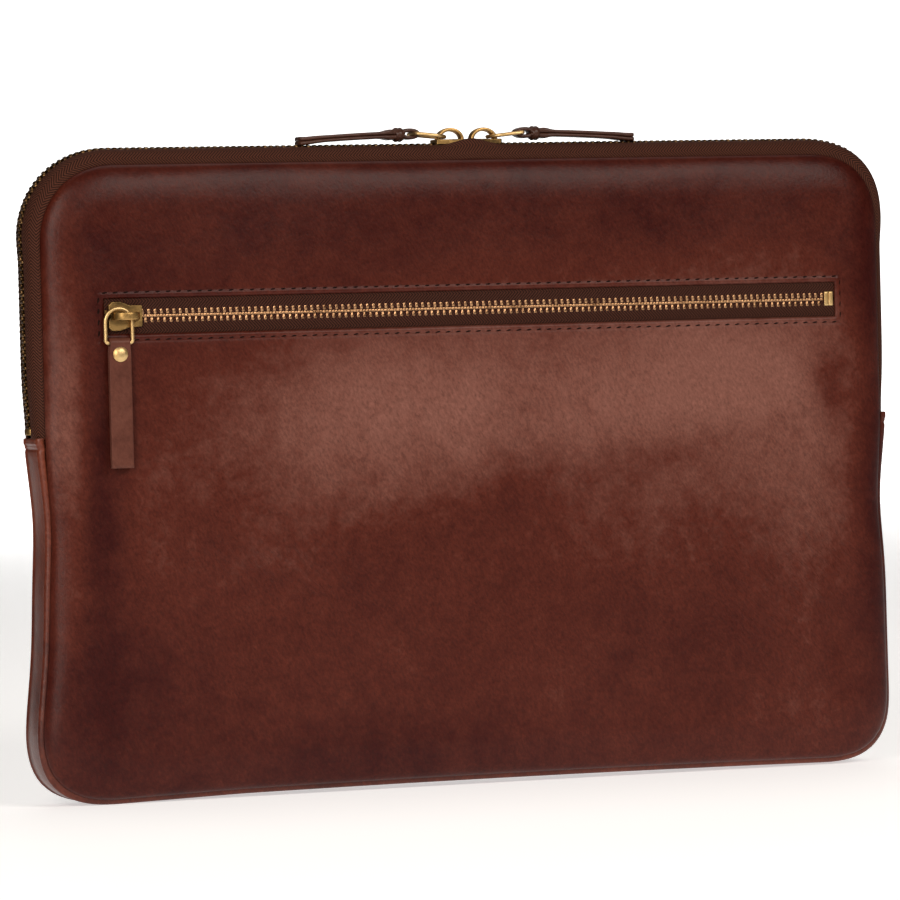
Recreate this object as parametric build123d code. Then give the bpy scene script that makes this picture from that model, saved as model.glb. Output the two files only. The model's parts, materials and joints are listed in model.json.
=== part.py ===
"""Zip-round leather sleeve for a 15 inch laptop, as separate cut, sewn and cast pieces.

Frame, in millimetres: +X runs along the long side, +Y points out of the back, +Z points up from the base
gusset to the zip. The origin is the middle of the flat outer face of the gusset that the sleeve stands on.

Front and back panels are shallow leather trays. A gusset strip joins their lower halves and a two-slider zip
joins their upper halves. The upper half of the back folds away about a crease between the two ends of the
zip, which opens the mouth. A second zip closes a flat pocket in the front panel.
"""

import os
from math import cos, pi, radians, sin

from build123d import *

# Overall size
WIDTH = 386.0  # between the outer faces of the zip teeth at the two sides
HEIGHT = 268.0  # from the base to the top of the teeth
THICKNESS = 34.0  # over the flat faces of the two panels

# Soft shell
LEATHER = 1.4
SEAM_HALF = 10.5  # from the middle plane to each panel seam
RIDGE = 7.2  # how far the zip teeth stand out from the panel seams
GUSSET_OUT = 1.5  # how far the gusset stands out from the panel seams
CORNER = 31.0  # radius of the seam line at all four corners
EDGE_ROUND = 5.0
FOLD_Z = 150.0  # height of the zip's lower ends and of the crease in the back
CREASE_GAP = 0.3
SEAM_GAP = 0.1  # each sewn edge stands this far back from the seam plane
FOAM = 3.0
LINING = 0.5
PLY_GAP = 0.1

# Zip chain, the same for both zips
TEETH_THICK = 2.4
TEETH_HALF_WIDTH = 3.0
END_STOP_LENGTH = 4.2
TEETH_INNER = 0.45  # from the middle line to the tip of a tooth, which leaves room for the slider's post
TOOTH_LENGTH = 1.25
TOOTH_PITCH = 2.7
TAPE = 0.7
TAPE_GRIP = 0.15  # between a row of teeth and the tape's corded edge
TAPE_FLAT = 6.5  # the tape lies flat out to here on each side of the middle, where the slider runs

# Slider, in its own frame: u towards the nose, v across, w outwards from the middle of the teeth
SLIDER_LENGTH = 14.4
SLIDER_HALF_WIDTH = 6.0
PLATE_TOP_LOW = TEETH_THICK / 2 + 0.15
PLATE_TOP = PLATE_TOP_LOW + 1.4
PLATE_BACK = -(TEETH_THICK / 2 + 0.15) - 1.0
CHANNEL_HALF = TEETH_HALF_WIDTH + 0.3
FLANGE_W = TAPE / 2 + 0.45
POST_HALF = 0.35
BRIDGE_WIDTH = 3.3
BRIDGE_THICK = 1.4
BRIDGE_TOP = 7.6
SLIDER_APART = 7.5  # from the place where the two noses meet to the middle of each parked slider
SLIDER_MEET_X = 3.7  # where they meet, a little to the right of the middle of the zip

# Pull ring and pulls
WIRE = 0.8  # radius
RING_WIDTH = 11.4  # between the middles of the legs
RING_LENGTH = 14.0  # from the crown to the bar
EYE_U = -2.4
EYE_W = 3.75
RING_RISE = 6.0  # degrees
PULL_WIDTH = 8.0
PULL_THICK = 2.6
PULL_REACH = 50.8
LOOP_RADIUS = 2.4
BAR_HOLE = 0.95

# Front pocket
POCKET_Z = 198.8
POCKET_X = 1.0
WINDOW_LENGTH = 324.6
WINDOW_HEIGHT = 14.6
POCKET_TAPE_WIDTH = 12.0
POCKET_SLIDER_X = -152.4
STITCH_LENGTH = 3.2
STITCH_PITCH = 4.5
STITCH_MARGIN = 2.3
TAB_WIDTH = 9.4
TAB_NECK = 8.6
TAB_THICK = 3.0
TAB_LENGTH = 51.0
RIVET_HEAD = 3.15
RIVET_DROP = 4.6

# Pocket bag, which hangs behind the window
BAG_SHEET = 0.4
BAG_ROOM = 4.6  # between its two sheets
BAG_HALF = 168.0
BAG_BASE = 26.0

# Worked-out places
SEAM_X = WIDTH / 2 - RIDGE
SEAM_TOP = HEIGHT - RIDGE
SEAM_BASE = GUSSET_OUT
FACE = THICKNESS / 2
TEETH_N = RIDGE - TEETH_THICK / 2  # middle of the teeth, outwards from the seam line
TEETH_Z = HEIGHT - TEETH_THICK / 2
POCKET_TAPE_Y = -(FACE - LEATHER - PLY_GAP - TAPE / 2)
POCKET_STOP_X = POCKET_X + WINDOW_LENGTH / 2 - 3.2
BAG_FRONT_Y = -(FACE - LEATHER - 2 * PLY_GAP - TAPE)
BAG_BACK_Y = BAG_FRONT_Y + BAG_SHEET + BAG_ROOM
FRONT_FOAM_Y = BAG_BACK_Y + BAG_SHEET + PLY_GAP
FRONT_LINING_Y = FRONT_FOAM_Y + FOAM + PLY_GAP
BACK_FOAM_Y = FACE - LEATHER - PLY_GAP - FOAM
BACK_LINING_Y = BACK_FOAM_Y - PLY_GAP - LINING

os.makedirs("parts", exist_ok=True)


def save(shape, name):
    """Writes one node. Several solids go into one file as a compound."""
    solids = shape if isinstance(shape, list) else shape.solids()
    whole = solids[0] if len(solids) == 1 else Compound(children=solids)
    export_step(whole, f"parts/{name}.step")


def box(x0, x1, y0, y1, z0, z1):
    """A box between two corners."""
    return Pos((x0 + x1) / 2, (y0 + y1) / 2, (z0 + z1) / 2) * Box(x1 - x0, y1 - y0, z1 - z0)


def outline_slab(inset, y0, y1):
    """The seam outline, moved inwards by inset, as a slab from y0 to y1."""
    height = SEAM_TOP - SEAM_BASE - 2 * inset
    face = RectangleRounded(2 * (SEAM_X - inset), height, CORNER - inset)
    plane = Plane(origin=(0, y1, (SEAM_TOP + SEAM_BASE) / 2), x_dir=(1, 0, 0), z_dir=(0, -1, 0))
    return extrude(plane * face, y1 - y0)


def upper(shape):
    return shape & box(-WIDTH, WIDTH, -50, 50, FOLD_Z + CREASE_GAP / 2, 2 * HEIGHT)


def lower(shape):
    return shape & box(-WIDTH, WIDTH, -50, 50, -HEIGHT, FOLD_Z - CREASE_GAP / 2)


# ---------------------------------------------------------------- bands that follow the seam line


def band_path(top):
    """The seam line from one zip end to the other, over the top or under the base."""
    side = 1 if top else -1
    straight_z = SEAM_TOP - CORNER if top else SEAM_BASE + CORNER
    edge_z = SEAM_TOP if top else SEAM_BASE
    start_z = FOLD_Z + side * CREASE_GAP / 2
    bend = CORNER * (1 - cos(pi / 4))
    left = [(-SEAM_X, 0, start_z), (-SEAM_X, 0, straight_z), (-SEAM_X + CORNER, 0, edge_z)]
    right = [(-x, y, z) for x, y, z in reversed(left)]
    left_middle = (-SEAM_X + bend, 0, edge_z - side * bend)
    right_middle = (SEAM_X - bend, 0, edge_z - side * bend)
    edges = [
        Edge.make_line(left[0], left[1]),
        Edge.make_three_point_arc(left[1], left_middle, left[2]),
        Edge.make_line(left[2], right[0]),
        Edge.make_three_point_arc(right[0], right_middle, right[1]),
        Edge.make_line(right[1], right[2]),
    ]
    return Wire(edges), start_z


def band(section, top):
    """Sweeps a section of (outward, y) corners along the seam line."""
    path, start_z = band_path(top)
    corners = [(-SEAM_X - n, y, start_z) for n, y in section]
    face = Face(Wire.make_polygon(corners, close=True))
    return sweep(face, path=path)


def chain_stations(phase):
    """Teeth places along the middle of the zip: (x, z, turn about Y in degrees), from left to right."""
    radius = CORNER + TEETH_N
    side = SEAM_TOP - CORNER - FOLD_Z
    across = 2 * (SEAM_X - CORNER)
    quarter = radius * pi / 2
    total = 2 * side + 2 * quarter + across
    count = int((total - 2 * END_STOP_LENGTH) / TOOTH_PITCH)
    first = (total - (count - 1) * TOOTH_PITCH) / 2 + phase
    places = []
    for i in range(count):
        s = first + i * TOOTH_PITCH
        mirrored = s > total / 2
        d = total - s if mirrored else s
        if d < side:
            x, z, turn = -SEAM_X - TEETH_N, FOLD_Z + d, -90.0
        elif d < side + quarter:
            angle = (d - side) / radius
            x = -SEAM_X + CORNER - radius * cos(angle)
            z = SEAM_TOP - CORNER + radius * sin(angle)
            turn = -90.0 + angle * 180 / pi
        else:
            x, z, turn = -SEAM_X + CORNER + d - side - quarter, SEAM_TOP + TEETH_N, 0.0
        places.append((-x, z, -turn) if mirrored else (x, z, turn))
    return places


def tooth(side):
    """One tooth lying along X, on the front (-1) or back (+1) of the middle line."""
    width = TEETH_HALF_WIDTH - TEETH_INNER
    return Pos(0, side * (TEETH_INNER + width / 2), 0) * Box(TOOTH_LENGTH, width, TEETH_THICK)


def main_teeth(side):
    one = tooth(side)
    phase = TOOTH_PITCH / 4 * side
    return [Pos(x, 0, z) * Rot(0, turn, 0) * one for x, z, turn in chain_stations(phase)]


def main_tape(side):
    """Half of the main zip's woven tape, which slopes up from the panel seam and lies flat between the teeth."""
    flat = TEETH_N - TAPE / 2
    near = side * (TEETH_HALF_WIDTH + TAPE_GRIP)
    section = [
        (0.0, side * (SEAM_HALF - TAPE)),
        (flat, side * TAPE_FLAT),
        (flat, near),
        (flat + TAPE, near),
        (flat + TAPE, side * (TAPE_FLAT + TAPE / 2)),
        (TAPE, side * SEAM_HALF),
        (0.0, side * SEAM_HALF),
    ]
    return band(section if side > 0 else section[::-1], top=True)


def gusset():
    """The leather strip under and beside the sleeve, flat outside so that the sleeve stands on it."""
    edge = SEAM_HALF - SEAM_GAP
    soft = 1.2
    inner = GUSSET_OUT - LEATHER
    section = [
        (inner, -edge),
        (GUSSET_OUT - soft, -edge),
        (GUSSET_OUT, -edge + soft),
        (GUSSET_OUT, edge - soft),
        (GUSSET_OUT - soft, edge),
        (inner, edge),
    ]
    return band(section, top=False)


def gusset_lining():
    edge = SEAM_HALF - 1.0
    outer = GUSSET_OUT - LEATHER - PLY_GAP
    return band([(outer - LINING, -edge), (outer, -edge), (outer, edge), (outer - LINING, edge)], top=False)


def gusset_end_stitches():
    """Two short stitches at each edge of the gusset's folded end, on both sides."""
    out = SEAM_X + GUSSET_OUT + 0.25
    stitches = []
    for side in (-1, 1):
        for y in (-7.0, -3.5, 0.0, 3.5, 7.0):
            stitches.append(Pos(side * out, y, FOLD_Z - 4.5) * Box(0.5, 2.2, 0.7))
    return stitches


# ---------------------------------------------------------------- panels and linings


def panel_tray():
    """A leather panel with its rounded edge turned back to the seam, facing -Y."""
    outside = outline_slab(0, -FACE, -SEAM_HALF - SEAM_GAP)
    rim = outside.faces().sort_by(Axis.Y)[0].edges()
    outside = fillet(rim, EDGE_ROUND)
    inside = outline_slab(LEATHER, -FACE + LEATHER, -SEAM_HALF)
    rim = inside.faces().sort_by(Axis.Y)[0].edges()
    return outside - fillet(rim, EDGE_ROUND - LEATHER)


def window_cut():
    face = RectangleRounded(WINDOW_LENGTH, WINDOW_HEIGHT, 1.5)
    plane = Plane(origin=(POCKET_X, -FACE - 1, POCKET_Z), x_dir=(1, 0, 0), z_dir=(0, -1, 0))
    return extrude(plane * face, -2 * LEATHER - 1)


def front_panel():
    return panel_tray() - window_cut()


def back_panel():
    return Rot(0, 0, 180) * panel_tray()


def sheet_in_outline(inset, y0, thick):
    """A padding or lining ply inside the panel, from y0 towards +Y."""
    return outline_slab(inset, y0, y0 + thick)


def pocket_bag_front():
    """The cotton sheet that hangs from the lower tape and turns back to meet the rear sheet at its foot."""
    top = POCKET_Z - POCKET_TAPE_WIDTH - 0.3
    sheet = box(-BAG_HALF, BAG_HALF, BAG_FRONT_Y, BAG_FRONT_Y + BAG_SHEET, BAG_BASE, top)
    foot = box(-BAG_HALF, BAG_HALF, BAG_FRONT_Y, BAG_BACK_Y, BAG_BASE - BAG_SHEET, BAG_BASE)
    return sheet + foot


def pocket_bag_back():
    top = POCKET_Z + POCKET_TAPE_WIDTH + 2
    return box(-BAG_HALF, BAG_HALF, BAG_BACK_Y, BAG_BACK_Y + BAG_SHEET, BAG_BASE - BAG_SHEET, top)


def pocket_top_stops():
    """The two small metal stops at the closed end, one on each tape."""
    x = POCKET_SLIDER_X - SLIDER_LENGTH / 2 - 0.7
    stop = Pos(x, POCKET_TAPE_Y, POCKET_Z) * Box(1.0, 2.2, 1.6)
    return [Pos(0, 0, side * TEETH_HALF_WIDTH * 0.6) * stop for side in (-1, 1)]


# ---------------------------------------------------------------- pocket zip


def pocket_tape(side):
    """The upper (+1) or lower (-1) half of the pocket zip's tape, sewn behind the window."""
    x0 = POCKET_X - WINDOW_LENGTH / 2 - 3
    x1 = POCKET_X + WINDOW_LENGTH / 2 + 3
    near = POCKET_Z + side * (TEETH_HALF_WIDTH + TAPE_GRIP)
    far = POCKET_Z + side * POCKET_TAPE_WIDTH
    y0 = POCKET_TAPE_Y - TAPE / 2
    return box(x0, x1, y0, y0 + TAPE, min(near, far), max(near, far))


def pocket_teeth(side):
    """The upper or lower row of pocket teeth, from under the parked slider to the box stop."""
    start = POCKET_SLIDER_X - SLIDER_LENGTH / 2 + 6
    count = int((POCKET_STOP_X - 2.6 - start) / TOOTH_PITCH)
    one = Rot(90, 0, 0) * tooth(1)
    if side < 0:
        one = Rot(0, 180, 0) * one
    phase = TOOTH_PITCH / 4 * side
    return [Pos(start + i * TOOTH_PITCH + phase, POCKET_TAPE_Y, POCKET_Z) * one for i in range(count)]


def pocket_box_stop():
    """The square metal stop over the end of both rows, pinched on to the tape."""
    body = Pos(POCKET_STOP_X, POCKET_TAPE_Y, POCKET_Z) * Box(4.2, 3.0, 2 * TEETH_HALF_WIDTH)
    return fillet(body.edges().filter_by(Axis.Y), 0.6)


def main_end_stop(side):
    """A metal stop over both rows at one end of the main zip."""
    z = FOLD_Z + END_STOP_LENGTH / 2 - 0.6
    body = Pos(side * (SEAM_X + TEETH_N), 0, z) * Box(3.0, 2 * TEETH_HALF_WIDTH - 0.2, END_STOP_LENGTH - 1.6)
    return fillet(body.edges().filter_by(Axis.X), 0.6)


def pocket_stitching():
    """A row of thread stitches round the window, each lying on the leather."""
    half_length = WINDOW_LENGTH / 2 + STITCH_MARGIN
    half_height = WINDOW_HEIGHT / 2 + STITCH_MARGIN
    y = -FACE - 0.2
    along = int(2 * half_length / STITCH_PITCH)
    up = int(2 * half_height / STITCH_PITCH)
    stitches = []
    for side in (-1, 1):
        for i in range(along):
            x = POCKET_X + (i - (along - 1) / 2) * STITCH_PITCH
            stitches.append(Pos(x, y, POCKET_Z + side * half_height) * Box(STITCH_LENGTH, 0.4, 0.7))
        for i in range(up):
            z = POCKET_Z + (i - (up - 1) / 2) * STITCH_PITCH
            stitches.append(Pos(POCKET_X + side * half_length, y, z) * Box(0.7, 0.4, STITCH_LENGTH))
    return stitches


# ---------------------------------------------------------------- sliders


def slider_plan():
    """Half of the slider's plan, as (u, v) from the tail to the nose: it flares where the rows part."""
    half = SLIDER_LENGTH / 2
    wide = SLIDER_HALF_WIDTH
    return [(-half, 4.4), (-half + 5.5, 4.5), (half - 5.0, wide), (half - 1.5, wide), (half, 4.6), (half, 1.3)]


def slider_body():
    """Two plates with turned-in flanges, joined at the nose by a thin post that runs between the rows."""
    side = slider_plan()
    notch = (SLIDER_LENGTH / 2 - 1.2, 0)
    plan = side + [notch] + [(u, -v) for u, v in reversed(side)]
    outline = make_face(Polyline(*plan, close=True))
    outline = fillet(outline.vertices().filter_by(lambda p: abs(p.Y) > 3), 0.9)
    blank = extrude(outline, PLATE_TOP - PLATE_BACK)
    blank = Pos(0, 0, PLATE_BACK) * blank
    top_rim = blank.faces().sort_by(Axis.Z)[-1].edges()
    blank = fillet(top_rim, 0.45)
    long = 2 * SLIDER_LENGTH
    channel = Box(long, 2 * CHANNEL_HALF, TEETH_THICK + 0.3)
    slot = Box(long, 40, 2 * FLANGE_W)
    hollow = blank - channel - slot
    post = Pos(4.0, 0, 0) * Box(3.2, 2 * POST_HALF, TEETH_THICK + 0.3)
    return hollow + post


def slider_bridge():
    """The arched strap on the slider that holds the pull ring."""
    base = PLATE_TOP
    foot = base - 3.0
    rise = [(-5.6, base), (-5.0, BRIDGE_TOP - 1.9), (-1.6, BRIDGE_TOP)]
    fall = [(2.4, BRIDGE_TOP), (4.9, BRIDGE_TOP - 1.6), (5.7, base)]
    outer = Polyline((-5.6, foot), *rise, *fall, (5.7, foot), close=True)
    face = make_face(outer)
    face = fillet(face.vertices().filter_by(lambda p: p.Y > base + 1), 1.6)
    ring = face - offset(face, -BRIDGE_THICK)
    strap = extrude(Plane.XZ * ring, BRIDGE_WIDTH / 2, both=True)
    strap = strap & Pos(0, 0, base + 10) * Box(40, 40, 20)
    return strap


def pull_ring():
    """A stirrup of wire: the crown is at the origin and the straight bar lies towards -X."""
    half = RING_WIDTH / 2
    corner = 1.2
    bar = -RING_LENGTH
    path = Wire(
        [
            Edge.make_three_point_arc((-half, -half, 0), (0, 0, 0), (-half, half, 0)),
            Edge.make_line((-half, half, 0), (bar + corner, half, 0)),
            Edge.make_three_point_arc(
                (bar + corner, half, 0),
                (bar + corner * (1 - cos(pi / 4)), half - corner * (1 - cos(pi / 4)), 0),
                (bar, half - corner, 0),
            ),
            Edge.make_line((bar, half - corner, 0), (bar, -half + corner, 0)),
            Edge.make_three_point_arc(
                (bar, -half + corner, 0),
                (bar + corner * (1 - cos(pi / 4)), -half + corner * (1 - cos(pi / 4)), 0),
                (bar + corner, -half, 0),
            ),
            Edge.make_line((bar + corner, -half, 0), (-half, -half, 0)),
        ]
    )
    section = Plane(origin=path @ 0, z_dir=path % 0) * Circle(WIRE)
    return sweep(section, path=path)


def strap_pull():
    """The main zip's leather pull: a loop round the bar at the origin, a cinched knot, then a strap to -X."""
    loop = extrude(Plane.XZ * Circle(LOOP_RADIUS), PULL_WIDTH / 2 - 0.8, both=True)
    knot = box(-13.0, -1.0, -PULL_WIDTH / 2, PULL_WIDTH / 2, -LOOP_RADIUS + 0.3, LOOP_RADIUS - 0.3)
    knot = fillet(knot.edges().filter_by(Axis.Y), 1.6)
    strap = box(-PULL_REACH, -2.0, -PULL_WIDTH / 2, PULL_WIDTH / 2, -PULL_THICK / 2, PULL_THICK / 2)
    relief = box(-2.6, 2.6, PULL_WIDTH / 2 - 0.8, PULL_WIDTH, -4, 4)
    hole = extrude(Plane.XZ * Circle(BAR_HOLE), PULL_WIDTH, both=True)
    return loop + knot + strap - hole - relief - Rot(180, 0, 0) * relief


def tab_pull():
    """The pocket's leather tab, folded round the ring's bar at the origin and hanging to -Z, facing -Y."""
    shoulder = -2.6
    loop = extrude(Plane.YZ * Circle(TAB_THICK / 2), TAB_NECK / 2, both=True)
    strap = box(-TAB_WIDTH / 2, TAB_WIDTH / 2, -TAB_THICK / 2, TAB_THICK / 2, -TAB_LENGTH, shoulder)
    neck = box(-TAB_NECK / 2, TAB_NECK / 2, -TAB_THICK / 2, TAB_THICK / 2, shoulder - 0.1, 0)
    hole = extrude(Plane.YZ * Circle(BAR_HOLE), TAB_WIDTH, both=True)
    rivet_hole = Pos(0, 0, -RIVET_DROP) * extrude(Plane.XZ * Circle(1.25), 5, both=True)
    return loop + neck + strap - hole - rivet_hole


RIVET_PLANE = Plane(origin=(0, -TAB_THICK / 2, -RIVET_DROP), x_dir=(1, 0, 0), z_dir=(0, -1, 0))


def rivet_cap():
    """The domed head on the front of the tab."""
    dome = extrude(RIVET_PLANE * Circle(RIVET_HEAD), 1.2)
    return fillet(dome.faces().sort_by(Axis.Y)[0].edges(), 0.9)


def rivet_post():
    """The shank through both layers of the tab, with its flat foot behind."""
    foot = extrude(RIVET_PLANE.offset(-TAB_THICK) * Circle(2.6), -0.45)
    return foot + extrude(RIVET_PLANE * Circle(1.2), -TAB_THICK)


# ---------------------------------------------------------------- where each slider set stands

LEFT_SLIDER = Plane(origin=(SLIDER_MEET_X - SLIDER_APART, 0, TEETH_Z), x_dir=(1, 0, 0), z_dir=(0, 0, 1))
RIGHT_SLIDER = Plane(origin=(SLIDER_MEET_X + SLIDER_APART, 0, TEETH_Z), x_dir=(-1, 0, 0), z_dir=(0, 0, 1))
POCKET_SLIDER = Plane(origin=(POCKET_SLIDER_X, POCKET_TAPE_Y, POCKET_Z), x_dir=(-1, 0, 0), z_dir=(0, -1, 0))

RING_TILT = Rot(0, RING_RISE, 0)
BAR_U = EYE_U - RING_LENGTH * cos(radians(RING_RISE))
BAR_W = EYE_W + RING_LENGTH * sin(radians(RING_RISE))
STRAP_TILT = Rot(0, -2.6, 0)
CROSSING_U = -2.2
POCKET_RING_W = 4.0
CROWN_RISE = 3.2


def main_pull_set(name, plane):
    """A main slider with its ring and strap pull."""
    save(plane * slider_body(), f"{name}_slider_body")
    save(plane * slider_bridge(), f"{name}_slider_bridge")
    save(plane * Pos(EYE_U, 0, EYE_W) * RING_TILT * pull_ring(), f"{name}_pull_ring")
    save(plane * Pos(BAR_U, 0, BAR_W) * STRAP_TILT * strap_pull(), f"{name}_leather_pull")


def pocket_pull_set():
    """The pocket slider, with its ring hanging from the bridge and the riveted tab on the ring."""
    save(POCKET_SLIDER * slider_body(), "pocket_slider_body")
    save(POCKET_SLIDER * slider_bridge(), "pocket_slider_bridge")
    crossing_x = POCKET_SLIDER_X - CROSSING_U
    ring_x = crossing_x - RING_WIDTH / 2
    ring_y = POCKET_TAPE_Y - POCKET_RING_W
    crown_z = POCKET_Z + CROWN_RISE
    bar_z = crown_z - RING_LENGTH
    hang = Rot(0, -90, 0) * Rot(90, 0, 0)
    save(Pos(ring_x, ring_y, crown_z) * hang * pull_ring(), "pocket_pull_ring")
    save(Pos(ring_x, ring_y, bar_z) * tab_pull(), "pocket_leather_tab")
    save(Pos(ring_x, ring_y, bar_z) * rivet_cap(), "pocket_rivet_cap")
    save(Pos(ring_x, ring_y, bar_z) * rivet_post(), "pocket_rivet_post")


def main():
    save(front_panel(), "front_panel")
    back = back_panel()
    save(lower(back), "back_panel_lower")
    save(upper(back), "back_panel_upper")
    save(gusset(), "gusset")
    save(gusset_lining(), "gusset_lining")
    save(gusset_end_stitches(), "gusset_end_stitches")

    save(sheet_in_outline(6.0, FRONT_FOAM_Y, FOAM), "front_padding")
    save(sheet_in_outline(4.0, FRONT_LINING_Y, LINING), "front_lining")
    back_foam = sheet_in_outline(6.0, BACK_FOAM_Y, FOAM)
    back_lining = sheet_in_outline(4.0, BACK_LINING_Y, LINING)
    save(lower(back_foam), "back_padding_lower")
    save(upper(back_foam), "back_padding_upper")
    save(lower(back_lining), "back_lining_lower")
    save(upper(back_lining), "back_lining_upper")
    save(pocket_bag_front(), "pocket_bag_front")
    save(pocket_bag_back(), "pocket_bag_back")

    save(main_tape(-1), "zip_tape_front")
    save(main_tape(1), "zip_tape_back")
    save(main_teeth(-1), "zip_teeth_front")
    save(main_teeth(1), "zip_teeth_back")
    save(main_end_stop(-1), "zip_end_stop_left")
    save(main_end_stop(1), "zip_end_stop_right")

    save(pocket_tape(1), "pocket_tape_upper")
    save(pocket_tape(-1), "pocket_tape_lower")
    save(pocket_teeth(1), "pocket_teeth_upper")
    save(pocket_teeth(-1), "pocket_teeth_lower")
    save(pocket_box_stop(), "pocket_box_stop")
    save(pocket_top_stops(), "pocket_top_stops")
    save(pocket_stitching(), "pocket_stitching")

    main_pull_set("left", LEFT_SLIDER)
    main_pull_set("right", RIGHT_SLIDER)
    pocket_pull_set()


main()
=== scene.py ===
# %% [markdown]
# # A leather laptop sleeve, dressed in Blender
# The sleeve is already a working model: every panel, zip row, slider, ring and pull is a separate part with
# its joint. This lesson gives those parts their real surfaces. Leather, cloth and tape are remade as fine
# meshes worked out with numpy, small cast parts keep their shape and get a finish, and each finish is a
# node material.

# %% Load the working model
import json
import math

import bpy
import numpy as np
from mathutils import Matrix, Vector


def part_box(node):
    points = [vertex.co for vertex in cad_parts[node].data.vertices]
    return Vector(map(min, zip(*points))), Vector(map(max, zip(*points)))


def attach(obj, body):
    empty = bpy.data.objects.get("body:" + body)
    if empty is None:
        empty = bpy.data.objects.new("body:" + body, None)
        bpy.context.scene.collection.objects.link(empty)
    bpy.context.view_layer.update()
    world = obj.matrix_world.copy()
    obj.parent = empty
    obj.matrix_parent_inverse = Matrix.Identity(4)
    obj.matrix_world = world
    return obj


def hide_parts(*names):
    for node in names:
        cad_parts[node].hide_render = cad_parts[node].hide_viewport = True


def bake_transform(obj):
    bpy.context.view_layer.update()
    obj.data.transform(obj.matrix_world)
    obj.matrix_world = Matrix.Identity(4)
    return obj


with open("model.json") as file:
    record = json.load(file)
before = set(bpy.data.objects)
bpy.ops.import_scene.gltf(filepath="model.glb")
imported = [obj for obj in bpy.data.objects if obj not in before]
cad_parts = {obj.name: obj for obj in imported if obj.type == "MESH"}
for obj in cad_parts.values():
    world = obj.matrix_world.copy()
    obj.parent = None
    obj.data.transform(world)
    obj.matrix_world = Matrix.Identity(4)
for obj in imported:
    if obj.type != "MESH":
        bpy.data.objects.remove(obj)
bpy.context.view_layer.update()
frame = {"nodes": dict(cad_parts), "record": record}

# %% [markdown]
# ## The few sizes that everything hangs on
# A maker works from the pattern: the seam line where the panels meet the zip and the gusset, the faces of
# the panels, the middle of the teeth. All of them can be read from the boxes of the model's own parts, in
# millimetres here because leather work is measured in them, and turned to metres when a mesh is made.

# %% Pattern sizes from the model
MM = 0.001


def box_mm(node):
    """The lowest and highest corners of a model part, in millimetres."""
    low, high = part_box(node)
    return np.array(low) / MM, np.array(high) / MM


def joint_mm(name):
    """The place of a hinge, in millimetres."""
    joints = {j["name"]: j for j in frame["record"]["behaviour"]["joints"]}
    return np.array(joints[name]["pos_m"]) / MM


panel_low, panel_high = box_mm("front_panel")
_, teeth_high = box_mm("zip_teeth_front")
stitch_low, stitch_high = box_mm("pocket_stitching")
SEAM_X = panel_high[0]
SEAM_BASE = panel_low[2]
SEAM_TOP = panel_high[2]
FACE = -panel_low[1]
SEAM_HALF = -panel_high[1]
RIDGE = teeth_high[2] - SEAM_TOP
TEETH_HALF = 1.2
TEETH_OUT = RIDGE - TEETH_HALF
CORNER = 31.0
CREASE = joint_mm("mouth_fold")
FOLD_Z = CREASE[2]
GUSSET_OUT = 1.5
print("seam", SEAM_X, SEAM_BASE, SEAM_TOP, "face", FACE, "ridge", RIDGE)

# %% [markdown]
# ## Helpers for meshes
# A surface is a grid of points with two directions. Numpy works out all of its points at once, and a few
# lines of index arithmetic join neighbours into four-sided faces. A closed direction joins its last row to
# its first.

# %% Grid to mesh
def grid_faces(rows, columns, wrap_rows=False, wrap_columns=False):
    """Corner numbers of every face of a grid whose points are numbered row by row."""
    r = np.arange(rows if wrap_rows else rows - 1)[:, None]
    c = np.arange(columns if wrap_columns else columns - 1)[None, :]
    r2, c2 = (r + 1) % rows, (c + 1) % columns
    corners = [r * columns + c, r * columns + c2, r2 * columns + c2, r2 * columns + c]
    return np.stack([np.broadcast_to(k, (r.size, c.size)) for k in corners], -1).reshape(-1, 4)


def to_mesh(name, points, faces, uv=None, caps=(), values=None):
    """A new object from points in millimetres, with a uv pair per point and named point attributes."""
    mesh = bpy.data.meshes.new(name)
    every = [tuple(int(i) for i in f) for f in faces] + [tuple(int(i) for i in f) for f in caps]
    mesh.from_pydata((np.asarray(points, float).reshape(-1, 3) * MM).tolist(), [], every)
    if uv is not None:
        layer = mesh.uv_layers.new(name="Pattern")
        corner_points = np.empty(len(mesh.loops), int)
        mesh.loops.foreach_get("vertex_index", corner_points)
        layer.data.foreach_set("uv", np.asarray(uv, float).reshape(-1, 2)[corner_points].ravel())
    for key, value in (values or {}).items():
        mesh.attributes.new(key, "FLOAT", "POINT").data.foreach_set("value", np.asarray(value, float).ravel())
    mesh.shade_smooth()
    mesh.validate()
    piece = bpy.data.objects.new(name, mesh)
    bpy.context.collection.objects.link(piece)
    return piece


def join_parts(parts):
    """Several (points, faces) pairs as one pair, with the later corner numbers moved along."""
    points = np.concatenate([np.asarray(p, float).reshape(-1, 3) for p, _ in parts])
    starts = np.cumsum([0] + [np.asarray(p).reshape(-1, 3).shape[0] for p, _ in parts[:-1]])
    faces = [tuple(int(i) + int(s) for i in f) for s, (_, fs) in zip(starts, parts) for f in fs]
    return points, faces


def finish_piece(piece, material, body, nodes):
    """Gives a piece its material and body, and hides the model parts that it stands for."""
    piece.data.materials.append(material)
    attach(piece, body)
    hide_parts(*nodes)
    return piece


def thicken(piece, thick):
    """Gives an open sheet its thickness, on the side away from its faces."""
    wall = piece.modifiers.new("Thickness", "SOLIDIFY")
    wall.thickness = thick * MM
    wall.offset = -1.0
    return piece


print("mesh helpers ready")

# %% [markdown]
# ## Helpers for materials
# Colours are written as a painter picks them, in sRGB hex, and turned to the linear values that light adds
# up in. One function adds any node, sets its properties and fills its sockets with a value or a link.

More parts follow.
